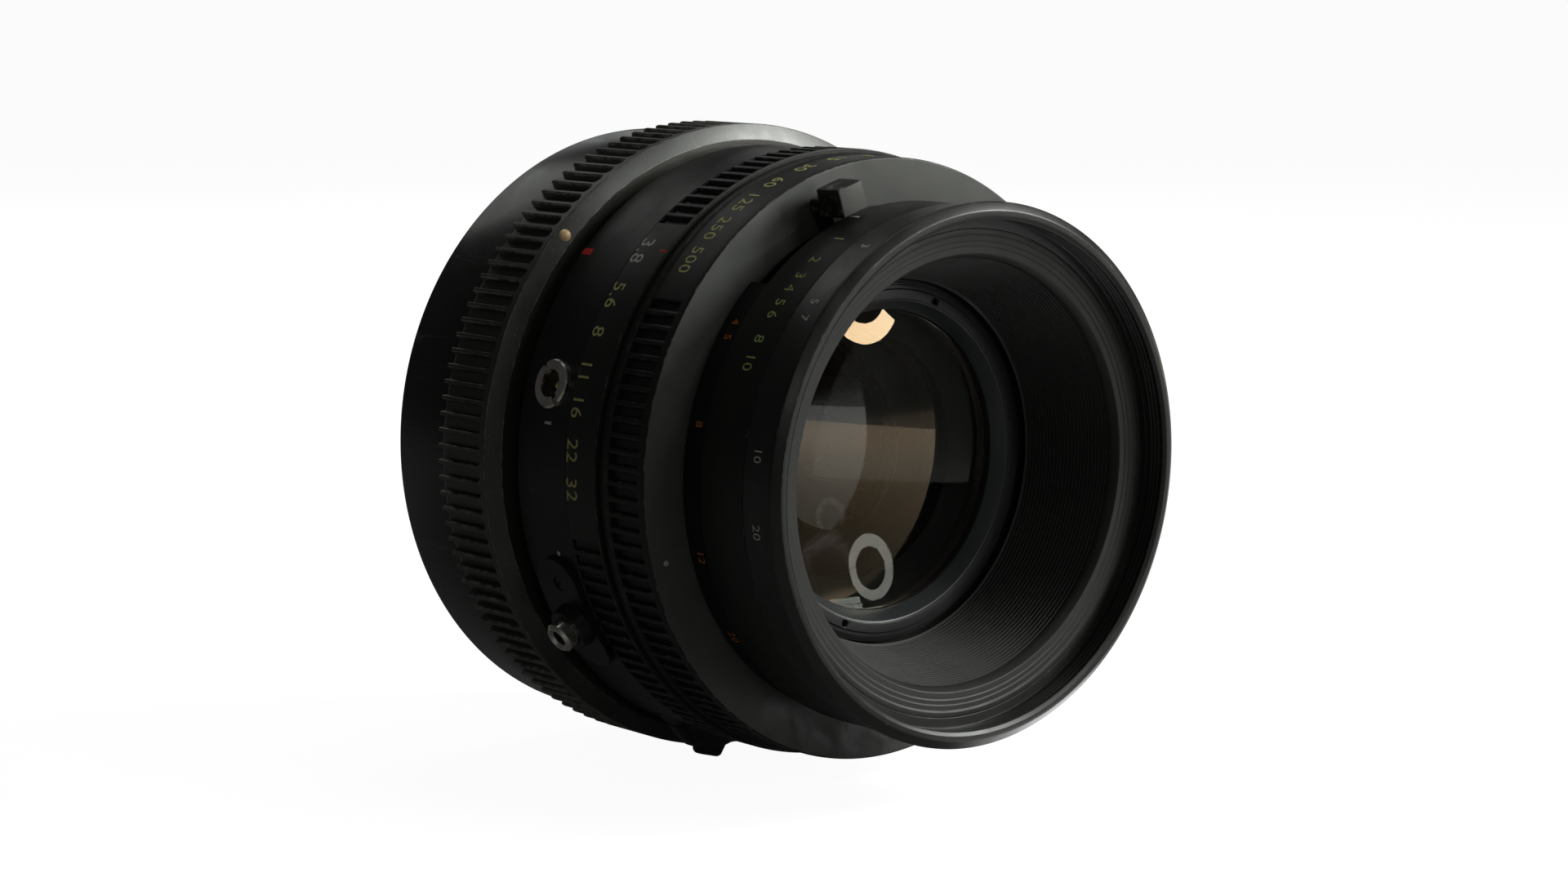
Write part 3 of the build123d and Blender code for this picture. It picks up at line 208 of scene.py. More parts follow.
def prism(first: np.ndarray, second: np.ndarray) -> Skin:
    """A closed skin between two outlines that have the same number of corners."""
    count = len(first)
    low = np.arange(count)
    following = np.roll(low, -1)
    sides = np.stack([low, following, following + count, low + count], axis=1).tolist()
    faces = [*sides, low[::-1].tolist(), (low + count).tolist()]
    return Skin(np.concatenate([first, second]), faces, np.zeros(2 * count))


def add_object(name: str, data: bpy.types.ID) -> bpy.types.Object:
    """A new object in the scene that shows the data it is given."""
    thing = bpy.data.objects.new(name, data)
    bpy.context.collection.objects.link(thing)
    return thing


def evaluated_mesh(thing: bpy.types.Object) -> bpy.types.Mesh:
    """A new mesh of an object as its modifiers or its text leave it."""
    bpy.context.view_layer.update()
    graph = bpy.context.evaluated_depsgraph_get()
    return bpy.data.meshes.new_from_object(thing.evaluated_get(graph))


def make_piece(name: str, skin: Skin, merge: bool = False, flat: bool = False) -> Piece:
    """Put a skin into a mesh object at the origin.

    Args:
        name: the object's name.
        skin: vertices in millimetres, faces and wear.
        merge: whether to merge vertices that coincide, such as those at a pole.
        flat: whether faces stay flat shaded.

    Returns:
        The new object, linked to the scene.
    """
    mesh = bpy.data.meshes.new(name)
    mesh.from_pydata((skin.points * MM).tolist(), [], skin.faces)
    wear = mesh.attributes.new("wear", "FLOAT", "POINT")
    wear.data.foreach_set("value", skin.wear.astype(np.float32))
    if merge:
        work = bmesh.new()
        work.from_mesh(mesh)
        bmesh.ops.remove_doubles(work, verts=work.verts, dist=MERGE_METRES)
        work.to_mesh(mesh)
        work.free()
    mesh.polygons.foreach_set("use_smooth", np.full(len(mesh.polygons), not flat))
    mesh.set_sharp_from_angle(angle=math.radians(SHARP_DEGREES))
    mesh.update()
    return add_object(name, mesh)


def polar(x: float, radius: float, clock: float) -> Vector:
    """The point in metres at a station, radius and clock angle."""
    angle = math.radians(clock)
    return Vector((x, radius * math.cos(angle), radius * math.sin(angle))) * MM


def standing_on(x: float, radius: float, clock: float) -> Matrix:
    """A placing whose Z points outwards at a place on the barrel and whose X runs along the axis."""
    angle = math.radians(clock)
    outward = Vector((0.0, math.cos(angle), math.sin(angle)))
    along = Vector((1.0, 0.0, 0.0))
    turned = Matrix((along, outward.cross(along), outward)).transposed().to_4x4()
    return Matrix.Translation(polar(x, radius, clock)) @ turned


def facing_front(x: float, radius: float, clock: float) -> Matrix:
    """A placing whose Z points along the axis at a place on a front face."""
    turned = Matrix(((0.0, 1.0, 0.0), (0.0, 0.0, 1.0), (1.0, 0.0, 0.0))).transposed().to_4x4()
    return Matrix.Translation(polar(x, radius, clock)) @ turned


def placed(local: np.ndarray, placing: Matrix) -> np.ndarray:
    """Points in millimetres carried from a placing's own axes to those of the lens."""
    matrix = np.array(placing)
    return local @ matrix[:3, :3].T + matrix[:3, 3] / MM


# Node groups that several finishes share

# The values of each effect's noise between which it sets in
TONE_RANGE = (0.3, 0.7)
SMUDGE_RANGE = (0.36, 0.68)
SCRATCHED_RANGE = (0.56, 0.62)
RUBBED_RANGE = (0.35, 0.72)
BARE_RANGE = (0.55, 1.05)
THIN_PAINT_RANGE = (0.45, 0.7)

# How far turned lines shift along the radius for each millimetre along the axis
TURNING_SLOPE = 0.83

# Turn in radians and stretch of each layer of hairlines
HAIRLINE_LAYERS = ((0.5, 0.035), (1.9, 0.05))


class NodeBench:
    """Adds nodes to a tree and joins them."""

    def __init__(self, tree: bpy.types.NodeTree) -> None:
        """Keep the tree that nodes go into."""
        self.tree = tree

    def fill(self, node: bpy.types.Node, inputs: dict) -> None:
        """Give a node's inputs their values.

        Args:
            node: the node.
            inputs: a value or an output socket for each input, by name or place.
        """
        for key, value in inputs.items():
            if isinstance(value, Socket):
                self.tree.links.new(value, node.inputs[key])
            else:
                node.inputs[key].default_value = value

    def add(self, kind: str, inputs: dict | None = None, **settings: object) -> bpy.types.Node:
        """Add one node.

        Args:
            kind: the node's type name.
            inputs: a value or an output socket for each input, by name or place.
            settings: properties of the node.

        Returns:
            The node.
        """
        node = self.tree.nodes.new(kind)
        for key, value in settings.items():
            setattr(node, key, value)
        self.fill(node, inputs or {})
        return node

    def math(self, operation: str, *values: object) -> Socket:
        """The result of a Math node on numbers or sockets."""
        return self.add("ShaderNodeMath", dict(enumerate(values)), operation=operation).outputs[0]

    def vector(self, operation: str, first: object, second: object) -> Socket:
        """The number that a Vector Math node gives for two vectors or sockets."""
        return self.add("ShaderNodeVectorMath", {0: first, 1: second}, operation=operation).outputs["Value"]

    def blend(self, factor: object, first: object, second: object) -> Socket:
        """A colour that lies a factor of the way from the first to the second."""
        return self.add("ShaderNodeMix", {0: factor, 6: first, 7: second}, data_type="RGBA").outputs[2]

    def ramp(self, value: object, low: float, high: float, to_low: float = 0.0, to_high: float = 1.0) -> Socket:
        """A value carried from one range to another and clamped.

        Args:
            value: number or socket.
            low: start of the first range.
            high: end of the first range.
            to_low: start of the second range.
            to_high: end of the second range.

        Returns:
            The output socket.
        """
        inputs = {0: value, 1: low, 2: high, 3: to_low, 4: to_high}
        return self.add("ShaderNodeMapRange", inputs, clamp=True).outputs[0]

    def noise(self, place: Socket, scale: object, detail: float, **others: float) -> Socket:
        """The value of a noise at a place, with its scale, its detail and other inputs by name."""
        inputs = {"Vector": place, "Scale": scale, "Detail": detail, **others}
        return self.add("ShaderNodeTexNoise", inputs).outputs[0]

    def bump(self, height: Socket, strength: float = 1.0) -> Socket:
        """The surface normal that a height in millimetres gives."""
        inputs = {"Strength": strength, "Distance": MM, "Height": height}
        return self.add("ShaderNodeBump", inputs).outputs[0]

    def millimetres(self) -> Socket:
        """Object coordinates in millimetres."""
        place = self.add("ShaderNodeTexCoord").outputs["Object"]
        return self.add("ShaderNodeVectorMath", {0: place, 3: 1.0 / MM}, operation="SCALE").outputs[0]

    def mirroring(self) -> Socket:
        """1 for the rays by which metal and glass see, and 0 for others."""
        rays = self.add("ShaderNodeLightPath").outputs
        return self.math("MAXIMUM", rays["Is Glossy Ray"], rays["Is Transmission Ray"])


def cleared(owner: bpy.types.Material | bpy.types.World) -> NodeBench:
    """A bench on the node tree of a material or world, with no nodes in it yet."""
    owner.use_nodes = True
    owner.node_tree.nodes.clear()
    return NodeBench(owner.node_tree)


@dataclass
class EffectLibrary:
    """Node groups for grain, turned lines, smudges, hairlines, dust and worn edges, each made once."""

    groups: dict[str, bpy.types.NodeTree] = field(default_factory=dict)

    def start(self, name: str, inputs: dict[str, float], outputs: list[str]) -> tuple:
        """Begin a group with number sockets.

        Args:
            name: the group's name.
            inputs: names and usual values.
            outputs: names of the results.

        Returns:
            The bench, the group's input sockets by name and its output node.
        """
        tree = bpy.data.node_groups.new(name, "ShaderNodeTree")
        for key, value in inputs.items():
            socket = tree.interface.new_socket(key, in_out="INPUT", socket_type="NodeSocketFloat")
            socket.default_value = value
        for key in outputs:
            tree.interface.new_socket(key, in_out="OUTPUT", socket_type="NodeSocketFloat")
        bench = NodeBench(tree)
        given = bench.add("NodeGroupInput")
        result = bench.add("NodeGroupOutput")
        self.groups[name] = tree
        return bench, given.outputs, result

    def build(self) -> None:
        """Make every group."""
        self.build_grain()
        self.build_turned()
        self.build_smudge()
        self.build_hairline()
        self.build_dust()
        self.build_worn_edge()

    def build_grain(self) -> None:
        """Fine even grain of anodised metal or moulded plastic, as a height and a slow tone."""
        bench, given, result = self.start("fine_grain", {"Size": 0.15}, ["Height", "Tone"])
        place = bench.millimetres()
        fine = bench.noise(place, bench.math("DIVIDE", 1.0, given["Size"]), 2.0)
        slow = bench.noise(place, 0.11, 4.0)
        bench.fill(result, {"Height": fine, "Tone": bench.ramp(slow, *TONE_RANGE)})

    def build_turned(self) -> None:
        """Lines left by a lathe: a noise of the radius less a share of the station only."""
        bench, given, result = self.start("turned_lines", {"Pitch": 0.2}, ["Height"])
        parts = bench.add("ShaderNodeSeparateXYZ", {0: bench.millimetres()}).outputs
        across = bench.math("POWER", bench.math("ABSOLUTE", parts[1]), 2.0)
        upward = bench.math("POWER", bench.math("ABSOLUTE", parts[2]), 2.0)
        radius = bench.math("SQRT", bench.math("ADD", across, upward))
        along = bench.math("SUBTRACT", radius, bench.math("MULTIPLY", parts[0], TURNING_SLOPE))
        inputs = {"W": bench.math("DIVIDE", along, given["Pitch"]), "Scale": 1.0, "Detail": 2.0, "Roughness": 0.7}
        lines = bench.add("ShaderNodeTexNoise", inputs, noise_dimensions="1D")
        bench.fill(result, {"Height": lines.outputs[0]})

    def build_smudge(self) -> None:
        """Soft marks of handling, a few millimetres to centimetres across."""
        bench, given, result = self.start("smudge", {"Size": 9.0}, ["Mask"])
        scale = bench.math("DIVIDE", 1.0, given["Size"])
        marks = bench.noise(bench.millimetres(), scale, 5.0, Roughness=0.62, Distortion=0.6)
        bench.fill(result, {"Mask": bench.ramp(marks, *SMUDGE_RANGE)})

    def build_hairline(self) -> None:
        """Thin scratches: the middle level of a stretched noise, kept only in a few places."""
        bench, given, result = self.start("hairline", {"Width": 0.012}, ["Mask"])
        place = bench.millimetres()
        masks = []
        for turn, stretch in HAIRLINE_LAYERS:
            inputs = {"Vector": place, "Rotation": (turn, 0.4 * turn, 1.3 * turn), "Scale": (stretch, 0.9, 0.9)}
            mapped = bench.add("ShaderNodeMapping", inputs).outputs[0]
            away = bench.math("ABSOLUTE", bench.math("SUBTRACT", bench.noise(mapped, 0.8, 0.0), 0.5))
            line = bench.math("LESS_THAN", away, given["Width"])
            few = bench.ramp(bench.noise(mapped, 0.23, 1.0), *SCRATCHED_RANGE)
            masks.append(bench.math("MULTIPLY", line, few))
        bench.fill(result, {"Mask": bench.math("MAXIMUM", *masks)})

    def build_dust(self) -> None:
        """Specks of dust, one in a cell of a Voronoi pattern where the cell's own chance allows it."""
        bench, given, result = self.start("dust", {"Spacing": 1.6, "Share": 0.2, "Size": 0.09}, ["Mask"])
        scale = bench.math("DIVIDE", 1.0, given["Spacing"])
        cells = bench.add("ShaderNodeTexVoronoi", {"Vector": bench.millimetres(), "Scale": scale})
        chance = bench.add("ShaderNodeSeparateColor", {0: cells.outputs["Color"]}).outputs[0]
        reach = bench.math("DIVIDE", given["Size"], given["Spacing"])
        near = bench.math("LESS_THAN", cells.outputs["Distance"], reach)
        some = bench.math("LESS_THAN", chance, given["Share"])
        bench.fill(result, {"Mask": bench.math("MULTIPLY", near, some)})

    def build_worn_edge(self) -> None:
        """Edges rubbed bare: the mesh's own wear values, broken up by noise."""
        bench, given, result = self.start("worn_edge", {"Amount": 0.5}, ["Mask"])
        wear = bench.add("ShaderNodeAttribute", attribute_name="wear").outputs["Fac"]
        broken = bench.ramp(bench.noise(bench.millimetres(), 0.7, 5.0), *RUBBED_RANGE)
        spread = bench.math("MULTIPLY", wear, bench.math("ADD", broken, given["Amount"]))
        bench.fill(result, {"Mask": bench.ramp(spread, *BARE_RANGE)})

    def place(self, bench: NodeBench, name: str, **values: object) -> bpy.types.bpy_prop_collection:
        """Put one of the groups into a tree.

        Args:
            bench: the tree's bench.
            name: the group's name.
            values: values or sockets for its inputs, by name.

        Returns:
            The group node's outputs.
        """
        return bench.add("ShaderNodeGroup", values, node_tree=self.groups[name]).outputs


EFFECTS = EffectLibrary()


def opaque(colour: Colour) -> tuple[float, float, float, float]:
    """A colour with full alpha."""
    return (*colour, 1.0)


def new_material(name: str) -> tuple[bpy.types.Material, NodeBench, bpy.types.Node]:
    """A material with only its surface shader and output.

    Args:
        name: the material's name.

    Returns:
        The material, its bench and its surface shader.
    """
    material = bpy.data.materials.new(name)
    bench = cleared(material)
    shader = bench.add("ShaderNodeBsdfPrincipled")
    bench.add("ShaderNodeOutputMaterial", {"Surface": shader.outputs[0]})
    return material, bench, shader


# Finishes

HAZE_COLOUR: Colour = (0.09, 0.09, 0.085)
SCRATCH_COLOUR: Colour = (0.10, 0.10, 0.095)
DUST_COLOUR: Colour = (0.33, 0.32, 0.29)
DUST_COVER = 0.6
DUST_ROUGHNESS = 0.4
RUBBED_POLISH = 0.08
PATCH_ROUGHNESS = 0.2
GLASS_TINT: Colour = (0.97, 0.98, 0.96)
DUSTY_GLASS_TINT: Colour = (0.80, 0.80, 0.76)


@dataclass(frozen=True)
class DarkFinish:
    """Black anodised metal, paint or plastic, with grain, turned lines, handling marks, dust and worn edges."""

    name: str
    colour: Colour = (0.010, 0.010, 0.010)
    second_colour: Colour = (0.014, 0.0135, 0.012)
    roughness: float = 0.42
    specular: float = 0.35
    grain_height: float = 0.004
    turned_pitch: float = 0.25
    turned_height: float = 0.0
    smudge_size: float = 9.0
    smudge: float = 0.12
    hairlines: float = 0.0
    dust_share: float = 0.12
    dust_spacing: float = 2.2
    wear: float = 0.0
    wear_colour: Colour = (0.16, 0.15, 0.13)
    haze: float = 0.0

    def material(self) -> bpy.types.Material:
        """Build the finish."""
        material, bench, shader = new_material(self.name)
        grain = EFFECTS.place(bench, "fine_grain", Size=0.15)
        smudge = EFFECTS.place(bench, "smudge", Size=self.smudge_size)["Mask"]
        colour = bench.blend(grain["Tone"], opaque(self.colour), opaque(self.second_colour))
        handled = bench.math("MULTIPLY", bench.math("SUBTRACT", smudge, 0.5), self.smudge)
        rough = bench.math("ADD", self.roughness, handled)
        height = bench.math("MULTIPLY", grain["Height"], self.grain_height)
        if self.haze:
            colour = bench.blend(bench.math("MULTIPLY", smudge, self.haze), colour, opaque(HAZE_COLOUR))
        if self.turned_height:
            lines = EFFECTS.place(bench, "turned_lines", Pitch=self.turned_pitch)["Height"]
            height = bench.math("ADD", height, bench.math("MULTIPLY", lines, self.turned_height))
        if self.hairlines:
            scratch = EFFECTS.place(bench, "hairline", Width=0.010)["Mask"]
            colour = bench.blend(bench.math("MULTIPLY", scratch, self.hairlines), colour, opaque(SCRATCH_COLOUR))
        if self.wear:
            worn = EFFECTS.place(bench, "worn_edge", Amount=self.wear)["Mask"]
            colour = bench.blend(worn, colour, opaque(self.wear_colour))
            rough = bench.math("SUBTRACT", rough, bench.math("MULTIPLY", worn, RUBBED_POLISH))
        dust = EFFECTS.place(bench, "dust", Spacing=self.dust_spacing, Share=self.dust_share, Size=0.08)["Mask"]
        colour = bench.blend(bench.math("MULTIPLY", dust, DUST_COVER), colour, opaque(DUST_COLOUR))
        rough = bench.math("ADD", rough, bench.math("MULTIPLY", dust, DUST_ROUGHNESS))
        bench.fill(shader, {"Base Color": colour, "Roughness": rough, "Normal": bench.bump(height)})
        bench.fill(shader, {"Specular IOR Level": self.specular})
        return material


@dataclass(frozen=True)
class BrightFinish:
    """Plated or bare metal, turned, with tarnish in patches."""

    name: str
    colour: Colour = (0.62, 0.60, 0.56)
    tarnish: Colour = (0.22, 0.19, 0.15)
    roughness: float = 0.26
    tarnish_share: float = 0.5

    def material(self) -> bpy.types.Material:
        """Build the finish."""
        material, bench, shader = new_material(self.name)
        patches = EFFECTS.place(bench, "smudge", Size=1.6)["Mask"]
        grain = EFFECTS.place(bench, "fine_grain", Size=0.12)["Height"]
        share = bench.math("MULTIPLY", patches, self.tarnish_share)
        colour = bench.blend(share, opaque(self.colour), opaque(self.tarnish))
        rough = bench.math("ADD", self.roughness, bench.math("MULTIPLY", patches, PATCH_ROUGHNESS))
        height = bench.math("MULTIPLY", grain, 0.004)
        bench.fill(shader, {"Base Color": colour, "Roughness": rough, "Metallic": 1.0})
        bench.fill(shader, {"Normal": bench.bump(height)})
        return material


@dataclass(frozen=True)
class PaintFinish:
    """Paint pressed into engraved figures and marks, thin in places."""

    name: str
    colour: Colour
    worn_colour: Colour = (0.03, 0.03, 0.025)
    worn_share: float = 0.55
    roughness: float = 0.55

    def material(self) -> bpy.types.Material:
        """Build the finish."""
        material, bench, shader = new_material(self.name)
        grain = EFFECTS.place(bench, "fine_grain", Size=0.35)["Height"]
        thin = bench.math("MULTIPLY", bench.ramp(grain, *THIN_PAINT_RANGE), self.worn_share)
        colour = bench.blend(thin, opaque(self.colour), opaque(self.worn_colour))
        height = bench.math("MULTIPLY", grain, 0.02)
        rough = bench.math("ADD", self.roughness, bench.math("MULTIPLY", thin, PATCH_ROUGHNESS))
        bench.fill(shader, {"Base Color": colour, "Roughness": rough, "Specular IOR Level": 0.3})
        bench.fill(shader, {"Normal": bench.bump(height, 0.6)})
        return material


@dataclass(frozen=True)
class GlassFinish:
    """Polished glass with a coating that tints its reflections, and a breath of dust."""

    name: str
    sheen_tint: Colour
    index: float = 1.52

    def material(self) -> bpy.types.Material:
        """Build the finish."""
        material, bench, shader = new_material(self.name)
        specks = EFFECTS.place(bench, "dust", Spacing=1.9, Share=0.06, Size=0.05)["Mask"]
        colour = bench.blend(specks, opaque(GLASS_TINT), opaque(DUSTY_GLASS_TINT))
        bench.fill(shader, {"Base Color": colour, "Roughness": 0.0, "Transmission Weight": 1.0, "IOR": self.index})
        bench.fill(shader, {"Specular Tint": opaque(self.sheen_tint)})
        return material


FINISH_KINDS = (
    DarkFinish(
        "cap_plastic", colour=(0.008, 0.008, 0.0075), second_colour=(0.011, 0.0105, 0.0095), roughness=0.24,
        specular=0.4, grain_height=0.0012, smudge=0.1, hairlines=0.5, wear=0.15, wear_colour=(0.05, 0.05, 0.047),
    ),
    # The grip's pale worn colour on lands and rib edges is partly real wear and partly a painted highlight of light
    # catching them.
    DarkFinish(
        "grip_black", colour=(0.019, 0.0185, 0.0147), second_colour=(0.027, 0.025, 0.020), specular=0.62,
        wear=0.62, wear_colour=(0.20, 0.19, 0.155), turned_height=0.003,
    ),
    DarkFinish(
        "bevel_black", colour=(0.020, 0.020, 0.0185), second_colour=(0.03, 0.03, 0.028), roughness=0.34,
        specular=0.5, wear=0.5, wear_colour=(0.2, 0.19, 0.17), turned_height=0.002, dust_share=0.42,
        dust_spacing=1.2, haze=0.2, hairlines=0.5,
    ),
    DarkFinish(
        "barrel_black", colour=(0.006, 0.006, 0.006), second_colour=(0.008, 0.008, 0.0075), roughness=0.4,
        specular=0.3, turned_height=0.0015, smudge=0.1,
    ),
    DarkFinish(
        "ring_black", colour=(0.009, 0.009, 0.0085), roughness=0.44, specular=0.28, wear=0.25,
        wear_colour=(0.10, 0.095, 0.085), turned_height=0.0012,
    ),
    # A lighter grey copy of the black for faces that look forwards, standing in for the window's light on them:
    # painted light.
    DarkFinish(
        "face_lit_grey", colour=(0.062, 0.064, 0.060), second_colour=(0.08, 0.082, 0.077), roughness=0.56,
        specular=0.36, haze=0.45, smudge=0.3, smudge_size=6.0, dust_share=0.22, dust_spacing=2.0,
    ),
    DarkFinish(
        "rim_black", colour=(0.010, 0.010, 0.0095), roughness=0.37, specular=0.4, turned_height=0.004,
        turned_pitch=0.22, wear=0.1, wear_colour=(0.10, 0.095, 0.08),
    ),
    DarkFinish(
        "baffle_black", colour=(0.018, 0.018, 0.017), second_colour=(0.024, 0.024, 0.022), roughness=0.52,
        grain_height=0.006, turned_height=0.004, turned_pitch=0.15, dust_share=0.1,
    ),
    DarkFinish("inner_black", colour=(0.006, 0.006, 0.006), roughness=0.6, specular=0.3),
    DarkFinish(
        "retainer_black", colour=(0.014, 0.0145, 0.015), second_colour=(0.02, 0.0205, 0.021), roughness=0.44,
        specular=0.45, turned_height=0.004, turned_pitch=0.12, wear=0.1, wear_colour=(0.1, 0.1, 0.1),
    ),
    # A bluish grey lighter than the ring for the chamfer by the glass, standing in for the reflection on it: painted
    # reflection.
    DarkFinish(
        "chamfer_sheen_grey", colour=(0.026, 0.030, 0.032), second_colour=(0.034, 0.039, 0.041), roughness=0.36,
        specular=0.8, dust_share=0.2, dust_spacing=1.6,
    ),
    DarkFinish("lever_black", colour=(0.008, 0.008, 0.008), roughness=0.45, wear=0.08),
    DarkFinish("insulator", colour=(0.05, 0.032, 0.02), second_colour=(0.07, 0.045, 0.028), roughness=0.5),
    BrightFinish("seat_steel", colour=(0.55, 0.55, 0.54), roughness=0.3, tarnish_share=0.25),
    BrightFinish("screw_steel", colour=(0.35, 0.34, 0.33), roughness=0.32),
    BrightFinish("blade_steel", colour=(0.10, 0.10, 0.105), tarnish=(0.06, 0.06, 0.06), roughness=0.38),
    BrightFinish("socket_silver", colour=(0.72, 0.70, 0.64), tarnish_share=0.4, roughness=0.16),
    BrightFinish("contact_brass", colour=(0.60, 0.43, 0.20), tarnish_share=0.4),
    PaintFinish("dot_enamel", colour=(0.62, 0.42, 0.22), worn_share=0.3, roughness=0.3),
    PaintFinish("olive_paint", colour=(0.50, 0.47, 0.19)),
    PaintFinish("green_paint", colour=(0.30, 0.38, 0.13)),
    PaintFinish("white_paint", colour=(0.50, 0.50, 0.44)),
    PaintFinish("orange_paint", colour=(0.55, 0.17, 0.03)),
    PaintFinish("red_paint", colour=(0.55, 0.02, 0.015), worn_share=0.25),
    GlassFinish("warm_coating", sheen_tint=(1.0, 0.70, 0.36)),
    GlassFinish("clear_coating", sheen_tint=(1.0, 0.96, 0.93)),
    GlassFinish("dim_coating", sheen_tint=(1.0, 1.0, 0.9), index=1.25),
    GlassFinish("faint_coating", sheen_tint=(0.95, 0.85, 1.0), index=1.08),
)
FINISHES: dict[str, bpy.types.Material] = {}


def dress(piece: Piece, *names: str) -> None:
    """Give a new piece the named finishes, in slot order."""
    piece.data.materials.clear()
    for name in names:
        piece.data.materials.append(FINISHES[name])


def dress_nodes(name: str, *nodes: str) -> None:
    """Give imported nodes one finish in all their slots."""
    for node in nodes:
        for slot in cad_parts[node].material_slots:
            slot.material = FINISHES[name]


def settle(piece: Piece, body: str, slot: str, *nodes: str) -> None:
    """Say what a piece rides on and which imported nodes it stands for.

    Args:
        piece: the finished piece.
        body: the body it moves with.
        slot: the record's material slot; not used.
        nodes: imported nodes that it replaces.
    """
    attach(piece, body)
    if nodes:
        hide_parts(*nodes)
    LOG.info("%s: %d faces on %s", piece.name, len(piece.data.polygons), body)


def face_middles(piece: Piece) -> tuple[np.ndarray, np.ndarray]:
    """Station and radius in millimetres of the middle of each face."""
    middles = np.empty(len(piece.data.polygons) * 3)
    piece.data.polygons.foreach_get("center", middles)
    x, y, z = middles.reshape(-1, 3).T / MM
    return x, np.hypot(y, z)


def second_finish(piece: Piece, test: np.ndarray) -> None:
    """Give a piece's second finish to the faces that pass a test."""
    piece.data.polygons.foreach_set("material_index", test.astype(np.int32))


# How deep the groove is in each of a pitch's ten columns, and how rubbed each column is, which is partly real wear
# and partly a painted highlight on the lands and rib edges
GROOVE_DEPTHS = np.array([1.0, 1.0, 0.86, 0.10, 0.0, 0.0, 0.0, 0.10, 0.86, 1.0])
GROOVE_WEAR_AND_SHEEN = np.array([0.0, 0.0, 0.2, 1.0, 0.5, 0.25, 0.5, 1.0, 0.2, 0.0])

# The first columns belong to a pitch's own groove, and the rest to the next one
FALLING_COLUMNS = 6

# A radius that no profile reaches, for rows without grooves
NOT_CUT = 1e9


@dataclass(frozen=True)
class Ribs:
    """A pattern of grooves along the axis in the outside of a ring."""

    count: int
    width: float
    depth: float
    phase: float
    outer_r: float
    first_clock: float = 0.0
    last_clock: float = 360.0
    edge: float = 0.05
    soft_edge: float = 0.16

    def skin(self, rows: np.ndarray, share: np.ndarray, narrow: np.ndarray) -> Skin:
        """A turned profile with the grooves pressed into it.

        Every pitch has the same ten columns: the groove's middle, four on each side of it that follow its
        floor, wall and rounded edge, and the land's middle. The radius is the lesser of the profile's own and
        the outer radius less the groove's depth, times the share of the groove that the row has.

        Args:
            rows: x, r and wear of the closed profile.
            share: how deep the groove is at each row, from 0 to 1.
            narrow: how wide the groove is at each row, from 0 to 1.

        Returns:
            The closed skin.
        """
        pitch = 360.0 / self.count
        columns = len(GROOVE_DEPTHS)
        shift = np.array([-self.soft_edge, -self.edge, self.edge, self.soft_edge])
        land = math.radians(pitch) * self.outer_r / 2
        side = self.width / 2 * narrow[:, None] + shift[None, :]
        middle = np.zeros((len(rows), 1))
        offsets = np.concatenate([middle, side, middle + land, 2 * land - side[:, ::-1]], axis=1)
        centres = self.phase + pitch * np.arange(self.count)
        turned = np.where(centres < self.first_clock, centres + 360.0, centres)
        cut = ((turned >= self.first_clock) & (turned <= self.last_clock)).astype(float)
        falling = np.repeat(cut[:, None], FALLING_COLUMNS, axis=1)
        rising = np.repeat(np.roll(cut, -1)[:, None], columns - FALLING_COLUMNS, axis=1)
        depth = (np.concatenate([falling, rising], axis=1) * GROOVE_DEPTHS).ravel()
        clock = centres[None, :, None] + np.degrees(offsets / self.outer_r)[:, None, :]
        clock = clock.reshape(len(rows), -1)
        x, plain, wear = (np.broadcast_to(column[:, None], clock.shape) for column in rows.T)
        floor = self.outer_r - self.depth * depth[None, :] * share[:, None]
        radius = np.minimum(plain, np.where(share[:, None] > 0, floor, NOT_CUT))
        # Wear on the lands and rib edges: partly real, partly a painted highlight.
        rubbed = (depth < 0.5) * np.repeat(cut, columns) * np.tile(GROOVE_WEAR_AND_SHEEN, self.count)
        return grid(x, radius, clock, np.maximum(wear, rubbed[None, :] * share[:, None]), True)


# Sub-assemblies


@dataclass
class RearCap:
    """Glossy moulded cap over the bayonet, with a shallow rim round its floor."""

    rear_x: float = -18.1
    front_x: float = -4.9
    outer_r: float = 48.7
    wall: float = 1.8
    floor: float = 2.0
    rim_inner_r: float = 45.2
    rim_depth: float = 0.45

    def build(self) -> Piece:
        """The cap, turned from its profile."""
        sunk_x = self.rear_x + self.rim_depth
        floor_x = self.rear_x + self.floor
        inner_r = self.outer_r - self.wall
        corners = [
            (sunk_x, 0.0, 0.0),
            (sunk_x, self.rim_inner_r - self.rim_depth, 0.2),
            (self.rear_x, self.rim_inner_r, 0.2),
            (self.rear_x, self.outer_r, 0.9),
            (self.front_x, self.outer_r, 0.18),
            (self.front_x, inner_r, 0.18),
            (floor_x, inner_r, 0.4),
            (floor_x, 0.0, 0.0),
        ]
        return make_piece("cap_shell", lathe(rounded(corners, closed=False), closed=False), merge=True)

    def dress(self, piece: Piece) -> None:
        """Finish the cap and its inner ring."""
        dress(piece, "cap_plastic")
        dress_nodes("cap_plastic", "cap_hub")
        settle(piece, "cap", "cap_plastic", "rear_cap")


